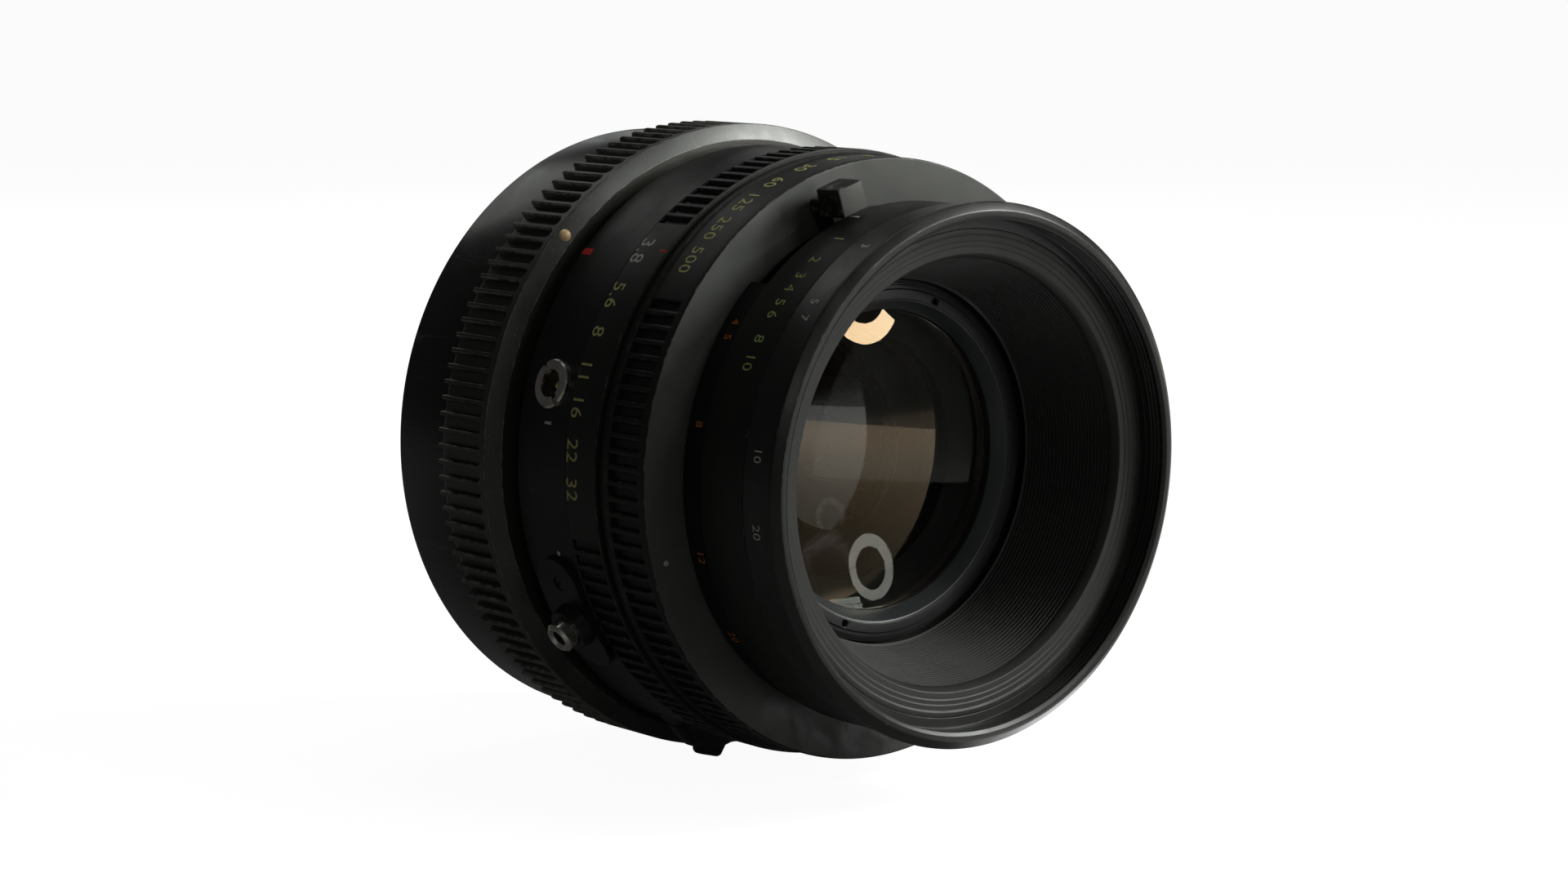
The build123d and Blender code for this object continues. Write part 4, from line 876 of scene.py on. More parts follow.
@dataclass
class BreechRing:
    """Ribbed locking ring with a worn bevel at its front and three inward lugs."""

    rear_x: float = -4.6
    edge_x: float = 7.85
    front_x: float = 9.0
    outer_r: float = 50.5
    front_r: float = 48.0
    hub_r: float = 43.97
    shoulder_x: float = 3.3
    lug_root_r: float = 46.2
    lug_tip_r: float = 43.4
    lug_overlap: float = 0.2
    lug_front_x: float = -2.6
    lug_arc: float = 54.0
    lug_clock: float = 135.5
    lug_count: int = 3
    groove_end_x: float = 6.6
    scoop_rows: int = 6
    scoop_reach: float = 0.97
    narrowest: float = 0.32
    rear_drop: float = 0.3
    stops: tuple = ((0.04, 0.4), (0.25, 0.1))
    ribs: Ribs = Ribs(count=126, width=1.8, depth=1.15, phase=2.1, outer_r=50.5)

    def profile(self) -> np.ndarray:
        """Rows of x, r and wear, with close rows where the grooves run out in a round end.

        The stops are two rows past that end: how far past it each lies, and how worn it is, which partly paints the
        highlight where the groove ends catch the light.
        """
        corners = [
            (self.rear_x, self.outer_r - self.ribs.depth - self.rear_drop, 0.0),
            (self.rear_x, self.outer_r, 0.45),
            (self.edge_x, self.outer_r, 0.12),
            (self.front_x, self.front_r, 0.12),
            (self.front_x, self.hub_r, 0.1),
            (self.shoulder_x, self.hub_r, 0.1),
            (self.shoulder_x, self.lug_root_r, 0.1),
            (self.rear_x, self.lug_root_r, 0.2),
        ]
        outer = rounded(corners)
        half = self.ribs.width / 2
        turn = np.linspace(0.0, self.scoop_reach, self.scoop_rows)
        stations = self.groove_end_x - half + half * np.sin(turn * np.pi / 2)
        scoop = np.column_stack([stations, np.full(len(turn), self.outer_r), np.zeros(len(turn))])
        stops = [[self.groove_end_x + past, self.outer_r, wear] for past, wear in self.stops]
        after = int(np.argmax((outer[:, 0] > self.groove_end_x) & (outer[:, 1] > self.outer_r - FACE_SLACK)))
        return np.concatenate([outer[:after], scoop, stops, outer[after:]])

    def build(self) -> Piece:
        """The ring, turned with its grooves, and its lugs."""
        rows = self.profile()
        x, radius, _ = rows.T
        half = self.ribs.width / 2
        outside = radius > self.outer_r - self.ribs.depth - ROW_SLACK
        share = (x < self.groove_end_x).astype(float) * outside
        share[x < self.rear_x + SAME_POINT] = 1.0
        along = np.clip((x - (self.groove_end_x - half)) / half, 0.0, 1.0)
        skin = self.ribs.skin(rows, share, np.maximum(np.sqrt(1.0 - along**2), self.narrowest))
        buried_r = self.lug_root_r + self.lug_overlap
        lug = rounded(
            [
                (self.rear_x, buried_r, 0.0),
                (self.lug_front_x, buried_r, 0.0),
                (self.lug_front_x, self.lug_tip_r, 0.15),
                (self.rear_x, self.lug_tip_r, 0.15),
            ]
        )
        for number in range(self.lug_count):
            clock = self.lug_clock + 360.0 / self.lug_count * number
            skin = skin.joined(arc_bar(lug, clock, self.lug_arc, 25))
        return make_piece("breech_grip", skin)

    def dress(self, piece: Piece) -> None:
        """Give the grip and the bevel their own finishes."""
        dress(piece, "grip_black", "bevel_black")
        x, radius = face_middles(piece)
        second_finish(piece, (x > self.edge_x) & (radius > self.front_r - FACE_SLACK))
        dress_nodes("dot_enamel", "alignment_dot")
        settle(piece, "breech_ring", "grip_black", "bayonet_ring")


@dataclass
class ApertureRing:
    """Ribbed ring that sets the iris, with a plain zone for its numbers."""

    rear_x: float = 24.7
    front_x: float = 32.0
    outer_r: float = 47.6
    bore_r: float = 43.67
    groove_end_x: float = 31.6
    end_slack: float = 0.01
    groove_wall: float = 0.06
    rear_drop: float = 0.3
    ribs: Ribs = Ribs(
        count=122, width=1.55, depth=0.8, phase=0.7, outer_r=47.6, first_clock=190.5, last_clock=488.0
    )

    def build(self) -> Piece:
        """The ring, turned with its grooves."""
        floor_r = self.outer_r - self.ribs.depth
        corners = [
            (self.rear_x, floor_r - self.rear_drop, 0.0),
            (self.rear_x, self.outer_r, 0.16),
            (self.groove_end_x, self.outer_r, 0.03),
            (self.groove_end_x + self.groove_wall, self.outer_r, 0.0),
            (self.front_x, self.outer_r, 0.28),
            (self.front_x, self.bore_r, 0.1),
            (self.rear_x, self.bore_r, 0.1),
        ]
        rows = rounded(corners)
        grooved = (rows[:, 0] < self.groove_end_x + self.end_slack) & (rows[:, 1] >= floor_r - ROW_SLACK)
        return make_piece("aperture_grip", self.ribs.skin(rows, grooved.astype(float), np.ones(len(rows))))

    def dress(self, piece: Piece) -> None:
        """Finish the ring."""
        dress(piece, "ring_black")
        settle(piece, "aperture", "ring_black", "aperture_ring")


@dataclass
class SpeedRing:
    """Ribbed ring that sets the shutter, with a raised rear edge and a wide flat front face."""

    rear_x: float = 32.3
    front_x: float = 42.6
    outer_r: float = 46.7
    ledge_r: float = 46.95
    ledge_x: float = 33.75
    bore_r: float = 43.67
    wall_x: float = 41.1
    wall_bore_r: float = 38.07
    ribs_rear_x: float = 34.1
    ribs_front_x: float = 41.1
    groove_wall: float = 0.06
    ledge_gap: float = 0.1
    rear_drop: float = 0.3
    front_slack: float = 0.02
    ribs: Ribs = Ribs(
        count=122, width=1.55, depth=0.8, phase=1.2, outer_r=46.7, first_clock=144.0, last_clock=416.0
    )

    def build(self) -> Piece:
        """The ring, turned with its grooves."""
        corners = [
            (self.rear_x, self.outer_r - self.rear_drop, 0.0),
            (self.rear_x, self.ledge_r, 0.2),
            (self.ledge_x, self.ledge_r, 0.1),
            (self.ribs_rear_x - self.ledge_gap, self.outer_r, 0.05),
            (self.ribs_rear_x, self.outer_r, 0.0),
            (self.ribs_rear_x + self.groove_wall, self.outer_r, 0.0),
            (self.ribs_front_x - self.groove_wall, self.outer_r, 0.0),
            (self.ribs_front_x, self.outer_r, 0.0),
            (self.front_x, self.outer_r, 0.32),
            (self.front_x, self.wall_bore_r, 0.1),
            (self.wall_x, self.wall_bore_r, 0.0),
            (self.wall_x, self.bore_r, 0.0),
            (self.rear_x, self.bore_r, 0.1),
        ]
        rows = rounded(corners)
        x, radius, _ = rows.T
        inside = (x > self.ribs_rear_x + self.groove_wall / 2) & (x < self.ribs_front_x - self.groove_wall / 2)
        share = (inside & (radius > self.outer_r - ROW_SLACK)).astype(float)
        return make_piece("speed_grip", self.ribs.skin(rows, share, np.ones(len(rows))))

    def dress(self, piece: Piece) -> None:
        """Give the ribbed side and the flat face their own finishes; the face's lighter grey is painted light."""
        dress(piece, "ring_black", "face_lit_grey")
        x, radius = face_middles(piece)
        second_finish(piece, (x > self.front_x - self.front_slack) & (radius < self.outer_r - FACE_SLACK))
        settle(piece, "speed", "ring_black", "speed_ring")


@dataclass
class DepthRing:
    """Smooth ring with the depth of field figures."""

    rear_x: float = 47.8
    front_x: float = 57.6
    outer_r: float = 40.4
    bore_r: float = 38.07

    def build(self) -> Piece:
        """The ring, turned from its profile."""
        corners = [
            (self.rear_x, self.outer_r, 0.3),
            (self.front_x, self.outer_r, 0.15),
            (self.front_x, self.bore_r, 0.05),
            (self.rear_x, self.bore_r, 0.05),
        ]
        return make_piece("depth_scale", lathe(rounded(corners)))

    def dress(self, piece: Piece) -> None:
        """Finish the ring and the fixed ring behind it."""
        dress(piece, "ring_black")
        dress_nodes("barrel_black", "scale_ring")
        settle(piece, "depth", "ring_black", "depth_ring")


@dataclass
class PreviewTab:
    """Finger tab: a stepped black block whose front has the lighter grey of the lit faces, which is painted light.
    """

    clock: float = 107.5
    foot_r: float = 41.1
    rear_x: float = 43.2
    front_x: float = 50.4
    step_x: float = 45.3
    step_height: float = 2.7
    height: float = 4.5
    width: float = 5.0
    bevel: float = 0.35
    bevel_segments: int = 3
    sharp_degrees: float = 30.0
    front_slack: float = 0.05

    def build(self) -> Piece:
        """The stepped side outline carried across the width, with every edge bevelled."""
        outline = [
            (self.rear_x, 0.0),
            (self.front_x, 0.0),
            (self.front_x, self.height),
            (self.step_x, self.height),
            (self.step_x, self.step_height),
            (self.rear_x, self.step_height),
        ]
        middle_x = (self.rear_x + self.front_x) / 2
        x, height = np.array(outline).T
        sides = (-self.width / 2, self.width / 2)
        block = prism(*[np.column_stack([x - middle_x, np.full(len(x), y), height]) for y in sides])
        points = placed(block.points, standing_on(middle_x, self.foot_r, self.clock))
        faces = [corners[::-1] for corners in block.faces]
        piece = make_piece("preview_grip", Skin(points, faces, np.ones(len(points))))
        work = bmesh.new()
        work.from_mesh(piece.data)
        bmesh.ops.recalc_face_normals(work, faces=work.faces)
        bmesh.ops.bevel(
            work, geom=work.edges[:], offset=self.bevel * MM, segments=self.bevel_segments, affect="EDGES",
            profile=0.5,
        )
        work.to_mesh(piece.data)
        work.free()
        piece.data.polygons.foreach_set("use_smooth", np.ones(len(piece.data.polygons), dtype=bool))
        piece.data.set_sharp_from_angle(angle=math.radians(self.sharp_degrees))
        return piece

    def dress(self, piece: Piece) -> None:
        """Give the block and its front their own finishes; the front's lighter grey is painted light."""
        dress(piece, "lever_black", "face_lit_grey")
        second_finish(piece, face_middles(piece)[0] > self.front_x - self.front_slack)
        dress_nodes("inner_black", "preview_lever")
        settle(piece, "preview", "lever_black", "preview_tab")


@dataclass
class FilterRing:
    """Front ring with its spigot, filter thread, turned lip and bevel."""

    spigot_rear_x: float = 52.2
    spigot_r: float = 35.95
    spigot_bore_r: float = 34.6
    rear_x: float = 57.9
    side_r: float = 40.6
    step_x: float = 63.7
    rim_r: float = 41.2
    bevel_x: float = 64.7
    lip_x: float = 65.7
    lip_outer_r: float = 39.9
    lip_inner_r: float = 39.1
    mouth_x: float = 65.3
    thread_r: float = 38.5
    thread_start: float = 0.35
    thread_end: float = 0.5
    thread_pitch: float = 0.75
    thread_depth: float = 0.22
    ledge_x: float = 61.6
    recess_x: float = 60.6
    recess_r: float = 37.0
    columns: int = 320

    def build(self) -> Piece:
        """The ring, turned from its profile; the thread is a zigzag of shallow grooves in the wall."""
        first, last = self.mouth_x - self.thread_start, self.ledge_x + self.thread_end
        turns = np.arange(first, last, -self.thread_pitch / 2)
        depth = np.where(np.arange(len(turns)) % 2 == 1, self.thread_depth, 0.0)
        corners = [
            (self.spigot_rear_x, self.spigot_bore_r, 0.0),
            (self.spigot_rear_x, self.spigot_r, 0.1),
            (self.rear_x, self.spigot_r, 0.0),
            (self.rear_x, self.side_r, 0.15),
            (self.step_x, self.side_r, 0.12),
            (self.step_x, self.rim_r, 0.14),
            (self.bevel_x, self.rim_r, 0.16),
            (self.lip_x, self.lip_outer_r, 0.16),
            (self.lip_x, self.lip_inner_r, 0.1),
            (self.mouth_x, self.thread_r, 0.1),
            *[(x, self.thread_r + extra, 0.06) for x, extra in zip(turns.tolist(), depth.tolist())],
            (self.ledge_x, self.thread_r, 0.05),
            (self.ledge_x, self.recess_r, 0.1),
            (self.recess_x, self.recess_r, 0.0),
            (self.recess_x, self.spigot_bore_r, 0.0),
        ]
        return make_piece("filter_rim", lathe(rounded(corners), columns=self.columns))

    def dress(self, piece: Piece) -> None:
        """Finish the ring."""
        dress(piece, "rim_black")
        settle(piece, "lens", "rim_black", "filter_ring")


@dataclass
class Baffle:
    """Stepped flange and ribbed cone that keep stray light off the glass.

    Each step has its radius and how far behind the ledge it lies. The rib corners are shares of the pitch.
    """

    flange_rear_x: float = 60.6
    ledge_x: float = 61.6
    flange_r: float = 36.95
    flange_bore_r: float = 33.2
    mouth_x: float = 60.0
    mouth_r: float = 32.6
    throat_x: float = 45.1
    throat_r: float = 28.2
    wall: float = 1.1
    wall_step: float = 0.4
    first_rib: float = 0.35
    rib_pitch: float = 0.62
    rib_depth: float = 0.32
    rib_corners: tuple = (0.0, 0.30, 0.45, 0.85)
    ledge_drop: float = 0.45
    steps: tuple = ((36.2, 0.0), (35.9, 0.2), (35.2, 0.2), (35.0, 0.32), (34.4, 0.32), (34.2, 0.45))

    def ribs(self) -> list[tuple[float, float, float]]:
        """Corners of the ribs: four for each pitch, two on its crest and two on its floor."""
        start = np.array([self.mouth_x, self.mouth_r])
        end = np.array([self.throat_x, self.throat_r])
        length = float(np.linalg.norm(end - start))
        along = (end - start) / length
        outward = np.array([along[1], -along[0]])
        count = int(length / self.rib_pitch) - 1
        first = self.first_rib + self.rib_pitch * np.arange(count)
        offsets = first[:, None] + self.rib_pitch * np.array(self.rib_corners)[None, :]
        depth = np.tile([0.0, 0.0, self.rib_depth, self.rib_depth], (count, 1))
        places = start + offsets[..., None] * along + depth[..., None] * outward
        return [(x, r, 0.05) for x, r in places.reshape(-1, 2).tolist()]

    def build(self) -> Piece:
        """The baffle, turned from its profile."""
        corners = [
            (self.throat_x, self.throat_r + self.wall, 0.0),
            (self.mouth_x - self.wall_step, self.mouth_r + self.wall, 0.0),
            (self.flange_rear_x, self.flange_bore_r + self.wall, 0.0),
            (self.flange_rear_x, self.flange_r, 0.0),
            (self.ledge_x, self.flange_r, 0.05),
            *[(self.ledge_x - drop, radius, 0.06) for radius, drop in self.steps],
            (self.ledge_x - self.ledge_drop, self.flange_bore_r, 0.15),
            (self.mouth_x, self.mouth_r, 0.2),
            *self.ribs(),
            (self.throat_x, self.throat_r, 0.1),
        ]
        return make_piece("baffle_lining", lathe(rounded(corners, steps=3)))

    def dress(self, piece: Piece) -> None:
        """Finish the baffle."""
        dress(piece, "baffle_black")
        settle(piece, "lens", "baffle_black", "baffle_cone")


@dataclass
class Retainer:
    """Stepped ring round the front glass, with two holes for a pin spanner.

    The steps are how far behind the front each of its three shoulders lies, from the rim inwards.
    """

    rear_x: float = 39.02
    flange_x: float = 43.4
    front_x: float = 44.5
    bevel_x: float = 42.1
    bore_r: float = 23.4
    body_r: float = 26.6
    flange_r: float = 27.3
    outer_step_r: float = 28.05
    inner_step_r: float = 27.65
    crown_r: float = 25.2
    groove_r: float = 25.1
    chamfer_r: float = 24.85
    steps: tuple = (0.8, 0.5, 0.22)
    groove_drop: float = 0.18
    chamfer_drop: float = 0.28
    hole_r: float = 0.6
    hole_pitch_r: float = 25.9
    hole_clocks: tuple = (249.0, 69.0)
    hole_depth: float = 1.5
    hole_sides: int = 24

    def build(self) -> Piece:
        """The ring, turned from its profile and bored."""
        outer_x, middle_x, inner_x = (self.front_x - drop for drop in self.steps)
        corners = [
            (self.rear_x, self.bore_r, 0.05),
            (self.rear_x, self.body_r, 0.05),
            (self.flange_x, self.body_r, 0.0),
            (self.flange_x, self.outer_step_r, 0.05),
            (outer_x, self.outer_step_r, 0.05),
            (outer_x, self.inner_step_r, 0.05),
            (middle_x, self.inner_step_r, 0.05),
            (middle_x, self.flange_r, 0.05),
            (inner_x, self.flange_r, 0.05),
            (inner_x, self.body_r + 0.12, 0.03),
            (self.front_x, self.body_r, 0.06),
            (self.front_x, self.crown_r, 0.06),
            (self.front_x - self.groove_drop, self.groove_r, 0.04),
            (self.front_x - self.chamfer_drop, self.chamfer_r, 0.05),
            (self.bevel_x, self.bore_r + 0.02, 0.05),
        ]
        piece = make_piece("front_ring", lathe(rounded(corners)))
        for clock in self.hole_clocks:
            self.bore(piece, clock)
        return piece

    def bore(self, piece: Piece, clock: float) -> None:
        """Cut one blind hole at a clock angle with a short round plug."""
        angle = np.linspace(0.0, 2 * np.pi, self.hole_sides, endpoint=False)
        middle = polar(0.0, self.hole_pitch_r, clock) / MM
        y = middle.y + self.hole_r * np.cos(angle)
        z = middle.z + self.hole_r * np.sin(angle)
        stations = (self.front_x - self.hole_depth, self.front_x + 0.5)
        plug = make_piece("pin_plug", prism(*[np.column_stack([np.full(len(y), x), y, z]) for x in stations]))
        cut = piece.modifiers.new("hole", "BOOLEAN")
        cut.operation = "DIFFERENCE"
        cut.solver = "EXACT"
        cut.object = plug
        bored = evaluated_mesh(piece)
        piece.modifiers.clear()
        piece.data = bored
        bpy.data.objects.remove(plug)

    def dress(self, piece: Piece) -> None:
        """Finish the ring, its chamfer, whose bluish grey is a painted reflection, and the cell that holds it."""
        dress(piece, "retainer_black", "chamfer_sheen_grey")
        x, radius = face_middles(piece)
        second_finish(piece, (x > self.bevel_x) & (radius < self.chamfer_r - 0.01))
        dress_nodes("inner_black", "front_cell", "front_spacer")
        settle(piece, "lens", "inner_black", "front_retainer")


@dataclass
class ThumbRest:
    """The smooth mound of the time lever's knob."""

    centre_x: float = 16.2
    half_width: float = 4.1
    base_r: float = 47.2
    root_r: float = 46.9
    rise: float = 3.0
    clock: float = 252.0
    half_length: float = 8.8
    flank: float = 0.84
    rows: int = 25
    columns: int = 41

    def swell(self, count: int) -> np.ndarray:
        """The share of the full rise across the mound: 3 s^2 - 2 s^3 for the clamped share s of the flank."""
        away = np.abs(np.linspace(-1.0, 1.0, count))
        share = np.clip((1.0 - away) / self.flank, 0.0, 1.0)
        return share * share * (3.0 - 2.0 * share)

    def build(self) -> Piece:
        """The mound over a grid of stations and clock angles, closed below."""
        height = self.rise * self.swell(self.rows)[:, None] * self.swell(self.columns)[None, :]
        radius = np.concatenate([self.base_r + height, np.full((2, self.columns), self.root_r)])
        across = np.concatenate([np.linspace(-1.0, 1.0, self.rows), [1.0, -1.0]])
        stations = self.centre_x + self.half_width * across
        along = np.linspace(-1.0, 1.0, self.columns)
        clocks = self.clock + np.degrees(self.half_length * along / self.base_r)
        shape = radius.shape
        x = np.broadcast_to(stations[:, None], shape)
        skin = grid(x, radius, np.broadcast_to(clocks, shape), np.zeros(shape), True, full=False)
        return make_piece("time_knob", capped(skin, *shape))

    def dress(self, piece: Piece) -> None:
        """Finish the mound like the lever."""
        dress(piece, "lever_black")
        settle(piece, "time", "lever_black")


@dataclass(frozen=True)
class Element:
    """One glass between two spherical faces, with a step where its seat is wider than its front.

    The rear finish also covers the front face beyond the coated radius.
    """

    node: str
    name: str
    front_finish: str
    rear_finish: str
    rear_x: float
    front_x: float
    seat_r: float
    front_r: float
    rear_curve: float
    front_curve: float
    step_x: float = 0.0
    coated_r: float = 30.0
    rows: int = 40
    columns: int = 160

    def bulge(self, curve: float, edge_r: float) -> tuple[np.ndarray, np.ndarray]:
        """How far a spherical face stands beyond its edge: the sphere's height at r less that at the edge.

        Args:
            curve: the sphere's radius, negative where the face is hollow.
            edge_r: the radius of the face's edge.

        Returns:
            Radii from the pole to the edge, and the height at each.
        """
        radii = np.linspace(0.0, edge_r, self.rows)
        height = np.sqrt(curve * curve - radii * radii) - math.sqrt(curve * curve - edge_r * edge_r)
        return radii, np.copysign(height, curve)

    def build(self) -> Piece:
        """The glass, turned from pole to pole."""
        rear_radii, rear_height = self.bulge(self.rear_curve, self.seat_r)
        front_radii, front_height = self.bulge(self.front_curve, self.front_r)
        rear = np.column_stack([self.rear_x - rear_height, rear_radii])
        front = np.column_stack([self.front_x + front_height, front_radii])[::-1]
        step = np.array([[self.step_x, self.seat_r], [self.step_x, self.front_r]])
        middle = step if self.seat_r > self.front_r else step[:0]
        rows = np.concatenate([rear, middle, front])
        rows = np.column_stack([rows, np.zeros(len(rows))])
        return make_piece(self.name, lathe(rows, closed=False, columns=self.columns), merge=True)

    def dress(self, piece: Piece) -> None:
        """Give the faces that look forwards and rearwards their own coatings."""
        dress(piece, self.front_finish, self.rear_finish)
        normals = np.empty(len(piece.data.polygons) * 3)
        piece.data.polygons.foreach_get("normal", normals)
        second_finish(piece, (normals[::3] < -0.5) | (face_middles(piece)[1] > self.coated_r))
        settle(piece, "lens", "coated_glass", self.node)


GLASSES = (
    Element(
        "front_glass", "front_element", "warm_coating", "dim_coating", rear_x=35.2, front_x=41.5, seat_r=25.0,
        front_r=23.3, rear_curve=160.0, front_curve=140.0, step_x=38.9,
    ),
    Element(
        "second_glass", "second_element", "clear_coating", "faint_coating", rear_x=22.4, front_x=25.4,
        seat_r=20.0, front_r=20.0, rear_curve=200.0, front_curve=90.0, coated_r=11.5,
    ),
    Element(
        "third_glass", "third_element", "faint_coating", "faint_coating", rear_x=2.4, front_x=6.5, seat_r=22.0,
        front_r=22.0, rear_curve=-110.0, front_curve=400.0,
    ),
    Element(
        "rear_glass", "rear_element", "faint_coating", "faint_coating", rear_x=-4.9, front_x=-3.4, seat_r=22.0,
        front_r=22.0, rear_curve=80.0, front_curve=60.0,
    ),
)


@dataclass(frozen=True)
class Painted:
    """Something painted on a ring: its name, the body it moves with, its paint and its material slot."""

    name: str
    body: str
    paint: str
    slot: str

    def dress(self, piece: Piece) -> None:
        """Paint the piece."""
        dress(piece, self.paint)
        settle(piece, self.body, self.slot)


@dataclass(frozen=True)
class Dial(Painted):
    """A row of printed numbers, set apart by blanks, with a clock angle for the middle of each."""

    radius: float
    x: float
    height: float
    numbers: str
    clocks: tuple[float, ...]
    tops: Around = Around.FRONT
    thickness: float = 0.03
    sink: float = 0.005
    digit_share: float = 0.7

    def build(self) -> Piece:
        """All the numbers as one mesh."""
        skins = [self.wrapped(text, clock) for text, clock in zip(self.numbers.split(), self.clocks)]
        return make_piece(self.name, functools.reduce(Skin.joined, skins), flat=True)

    def wrapped(self, text: str, clock: float) -> Skin:
        """Wrap a flat number onto the ring.

        A flat point (u, v) goes to station x + v and clock angle c + u / r, and its thickness adds to r.

        Args:
            text: the number.
            clock: the clock angle of its middle.

        Returns:
            The number's skin.
        """
        flat, polygons = self.flat_number(text)
        away = self.tops.value
        angle = np.radians(clock) + away * flat[:, 0] / self.radius
        radius = self.radius + flat[:, 2] + self.thickness / 2 - self.sink
        points = np.column_stack([self.x + away * flat[:, 1], radius * np.cos(angle), radius * np.sin(angle)])
        return Skin(points, polygons, np.zeros(len(points)))

    def flat_number(self, text: str) -> tuple[np.ndarray, list[list[int]]]:
        """Points in millimetres and faces of a number as a thin flat mesh, centred on its middle."""
        curve = bpy.data.curves.new("figure", "FONT")
        curve.body = text
        curve.size = self.height / self.digit_share
        curve.extrude = self.thickness / 2
        curve.resolution_u = 3
        curve.space_character = 1.05
        holder = add_object("figure", curve)
        mesh = evaluated_mesh(holder)
        flat = np.empty(len(mesh.vertices) * 3)
        mesh.vertices.foreach_get("co", flat)
        flat = flat.reshape(-1, 3)
        polygons = [list(polygon.vertices) for polygon in mesh.polygons]
        flat[:, :2] -= (flat[:, :2].min(axis=0) + flat[:, :2].max(axis=0)) / 2
        bpy.data.objects.remove(holder)
        bpy.data.curves.remove(curve)
        bpy.data.meshes.remove(mesh)
        return flat, polygons


@dataclass(frozen=True)
class Mark(Painted):
    """A painted dash that lies on a ring."""

    radius: float
    x: float
    clock: float
    length: float
    width: float
    rise: float = 0.035
    sink: float = 0.03
    columns: int = 5

    def build(self) -> Piece:
        """A thin bar bent round the ring."""
        top, base = self.radius + self.rise, self.radius - self.sink
        rear, front = self.x - self.length / 2, self.x + self.length / 2
        rows = rounded([(rear, top, 0.02), (front, top, 0.02), (front, base, 0.0), (rear, base, 0.0)], steps=3)
        return make_piece(self.name, arc_bar(rows, self.clock, math.degrees(self.width / self.radius), self.columns))


@dataclass(frozen=True)
class Spot(Painted):
    """A round painted spot that lies on a ring or on its front face."""

    place: Matrix
    radius: float
    rise: float = 0.05
    sink: float = 0.05
    rows: int = 4
    columns: int = 20

    def build(self) -> Piece:
        """A low dome: height falls with the square of the distance from its middle."""
        ring = np.linspace(0.0, self.radius, self.rows + 1)[1:]
        angle = np.linspace(0.0, 2 * np.pi, self.columns, endpoint=False)
        x = np.outer(ring, np.cos(angle))
        y = np.outer(ring, np.sin(angle))
        z = np.repeat(self.rise * (1.0 - (ring / self.radius) ** 2), self.columns)
        top = np.column_stack([x.ravel(), y.ravel(), z])
        rim = np.column_stack([x[-1], y[-1], np.full(self.columns, -self.sink)])
        local = np.concatenate([top, rim, [[0.0, 0.0, self.rise]], [[0.0, 0.0, -self.sink]]])
        index = np.arange((self.rows + 1) * self.columns).reshape(-1, self.columns)
        turned = np.roll(index, -1, axis=1)
        quads = np.stack([index[:-1], index[1:], turned[1:], turned[:-1]], axis=-1).reshape(-1, 4).tolist()
        pole = index.size
        fan = [[pole, int(a), int(b)] for a, b in zip(index[0], turned[0])]
        base = [[pole + 1, int(b), int(a)] for a, b in zip(index[-1], turned[-1])]
        return make_piece(self.name, Skin(placed(local, self.place), quads + fan + base, np.zeros(len(local))))


PAINTED: tuple[Painted, ...] = (
    Dial(
        "aperture_figures", "aperture", "olive_paint", "ring_black", 47.6, 26.3, 2.6, "5.6 8 11 16 22 32",
        (145.5, 152.9, 160.4, 167.3, 175.0, 182.1),
    ),
    Dial("widest_figure", "aperture", "white_paint", "ring_black", 47.6, 26.3, 2.8, "3.8", (135.6,)),
    Dial(
        "speed_figures", "speed", "olive_paint", "ring_black", 46.7, 37.2, 2.4, "500 250 125 60 30 15 8 4 2 1",
        (135.6, 127.4, 119.5, 111.7, 103.9, 96.0, 88.2, 80.4, 72.6, 64.8),
    ),
    Dial(
        "depth_figures", "depth", "green_paint", "ring_black", 40.4, 53.4, 2.0, "1 2 3 4 5 6 8 10",
        (117.1, 124.8, 129.8, 133.5, 137.35, 140.6, 146.5, 152.2),
    ),
    Dial(
        "rim_figures", "lens", "white_paint", "rim_black", 40.6, 60.7, 1.6, "3 5 7 10 20",
        (119.1, 136.4, 140.55, 170.9, 186.4),
    ),
    Dial(
        "scale_figures", "lens", "orange_paint", "ring_black", 39.5, 45.3, 1.5, "4 5 8 12 20 40",
        (142.7, 146.5, 166.3, 195.6, 216.0, 234.6),
    ),
    Mark("bayonet_mark", "lens", "red_paint", "barrel_black", 47.3, 13.4, 136.9, 2.3, 1.2),
    Mark("socket_mark", "lens", "white_paint", "barrel_black", 47.3, 19.3, 170.8, 1.6, 0.45),
    Mark("speed_mark", "aperture", "red_paint", "ring_black", 47.6, 31.0, 135.2, 1.4, 0.4),
    Mark("depth_mark", "depth", "white_paint", "ring_black", 40.4, 49.3, 107.0, 2.0, 0.4),
    Spot("barrel_spot", "lens", "white_paint", "barrel_black", standing_on(20.25, 47.3, 195.2), 0.4),
    Spot("face_spot", "speed", "white_paint", "ring_black", facing_front(42.6, 44.0, 194.8), 0.45),
)


def numbered(name: str) -> list[str]:
    """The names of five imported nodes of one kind."""
    return [f"{name}_{number}" for number in range(1, 6)]


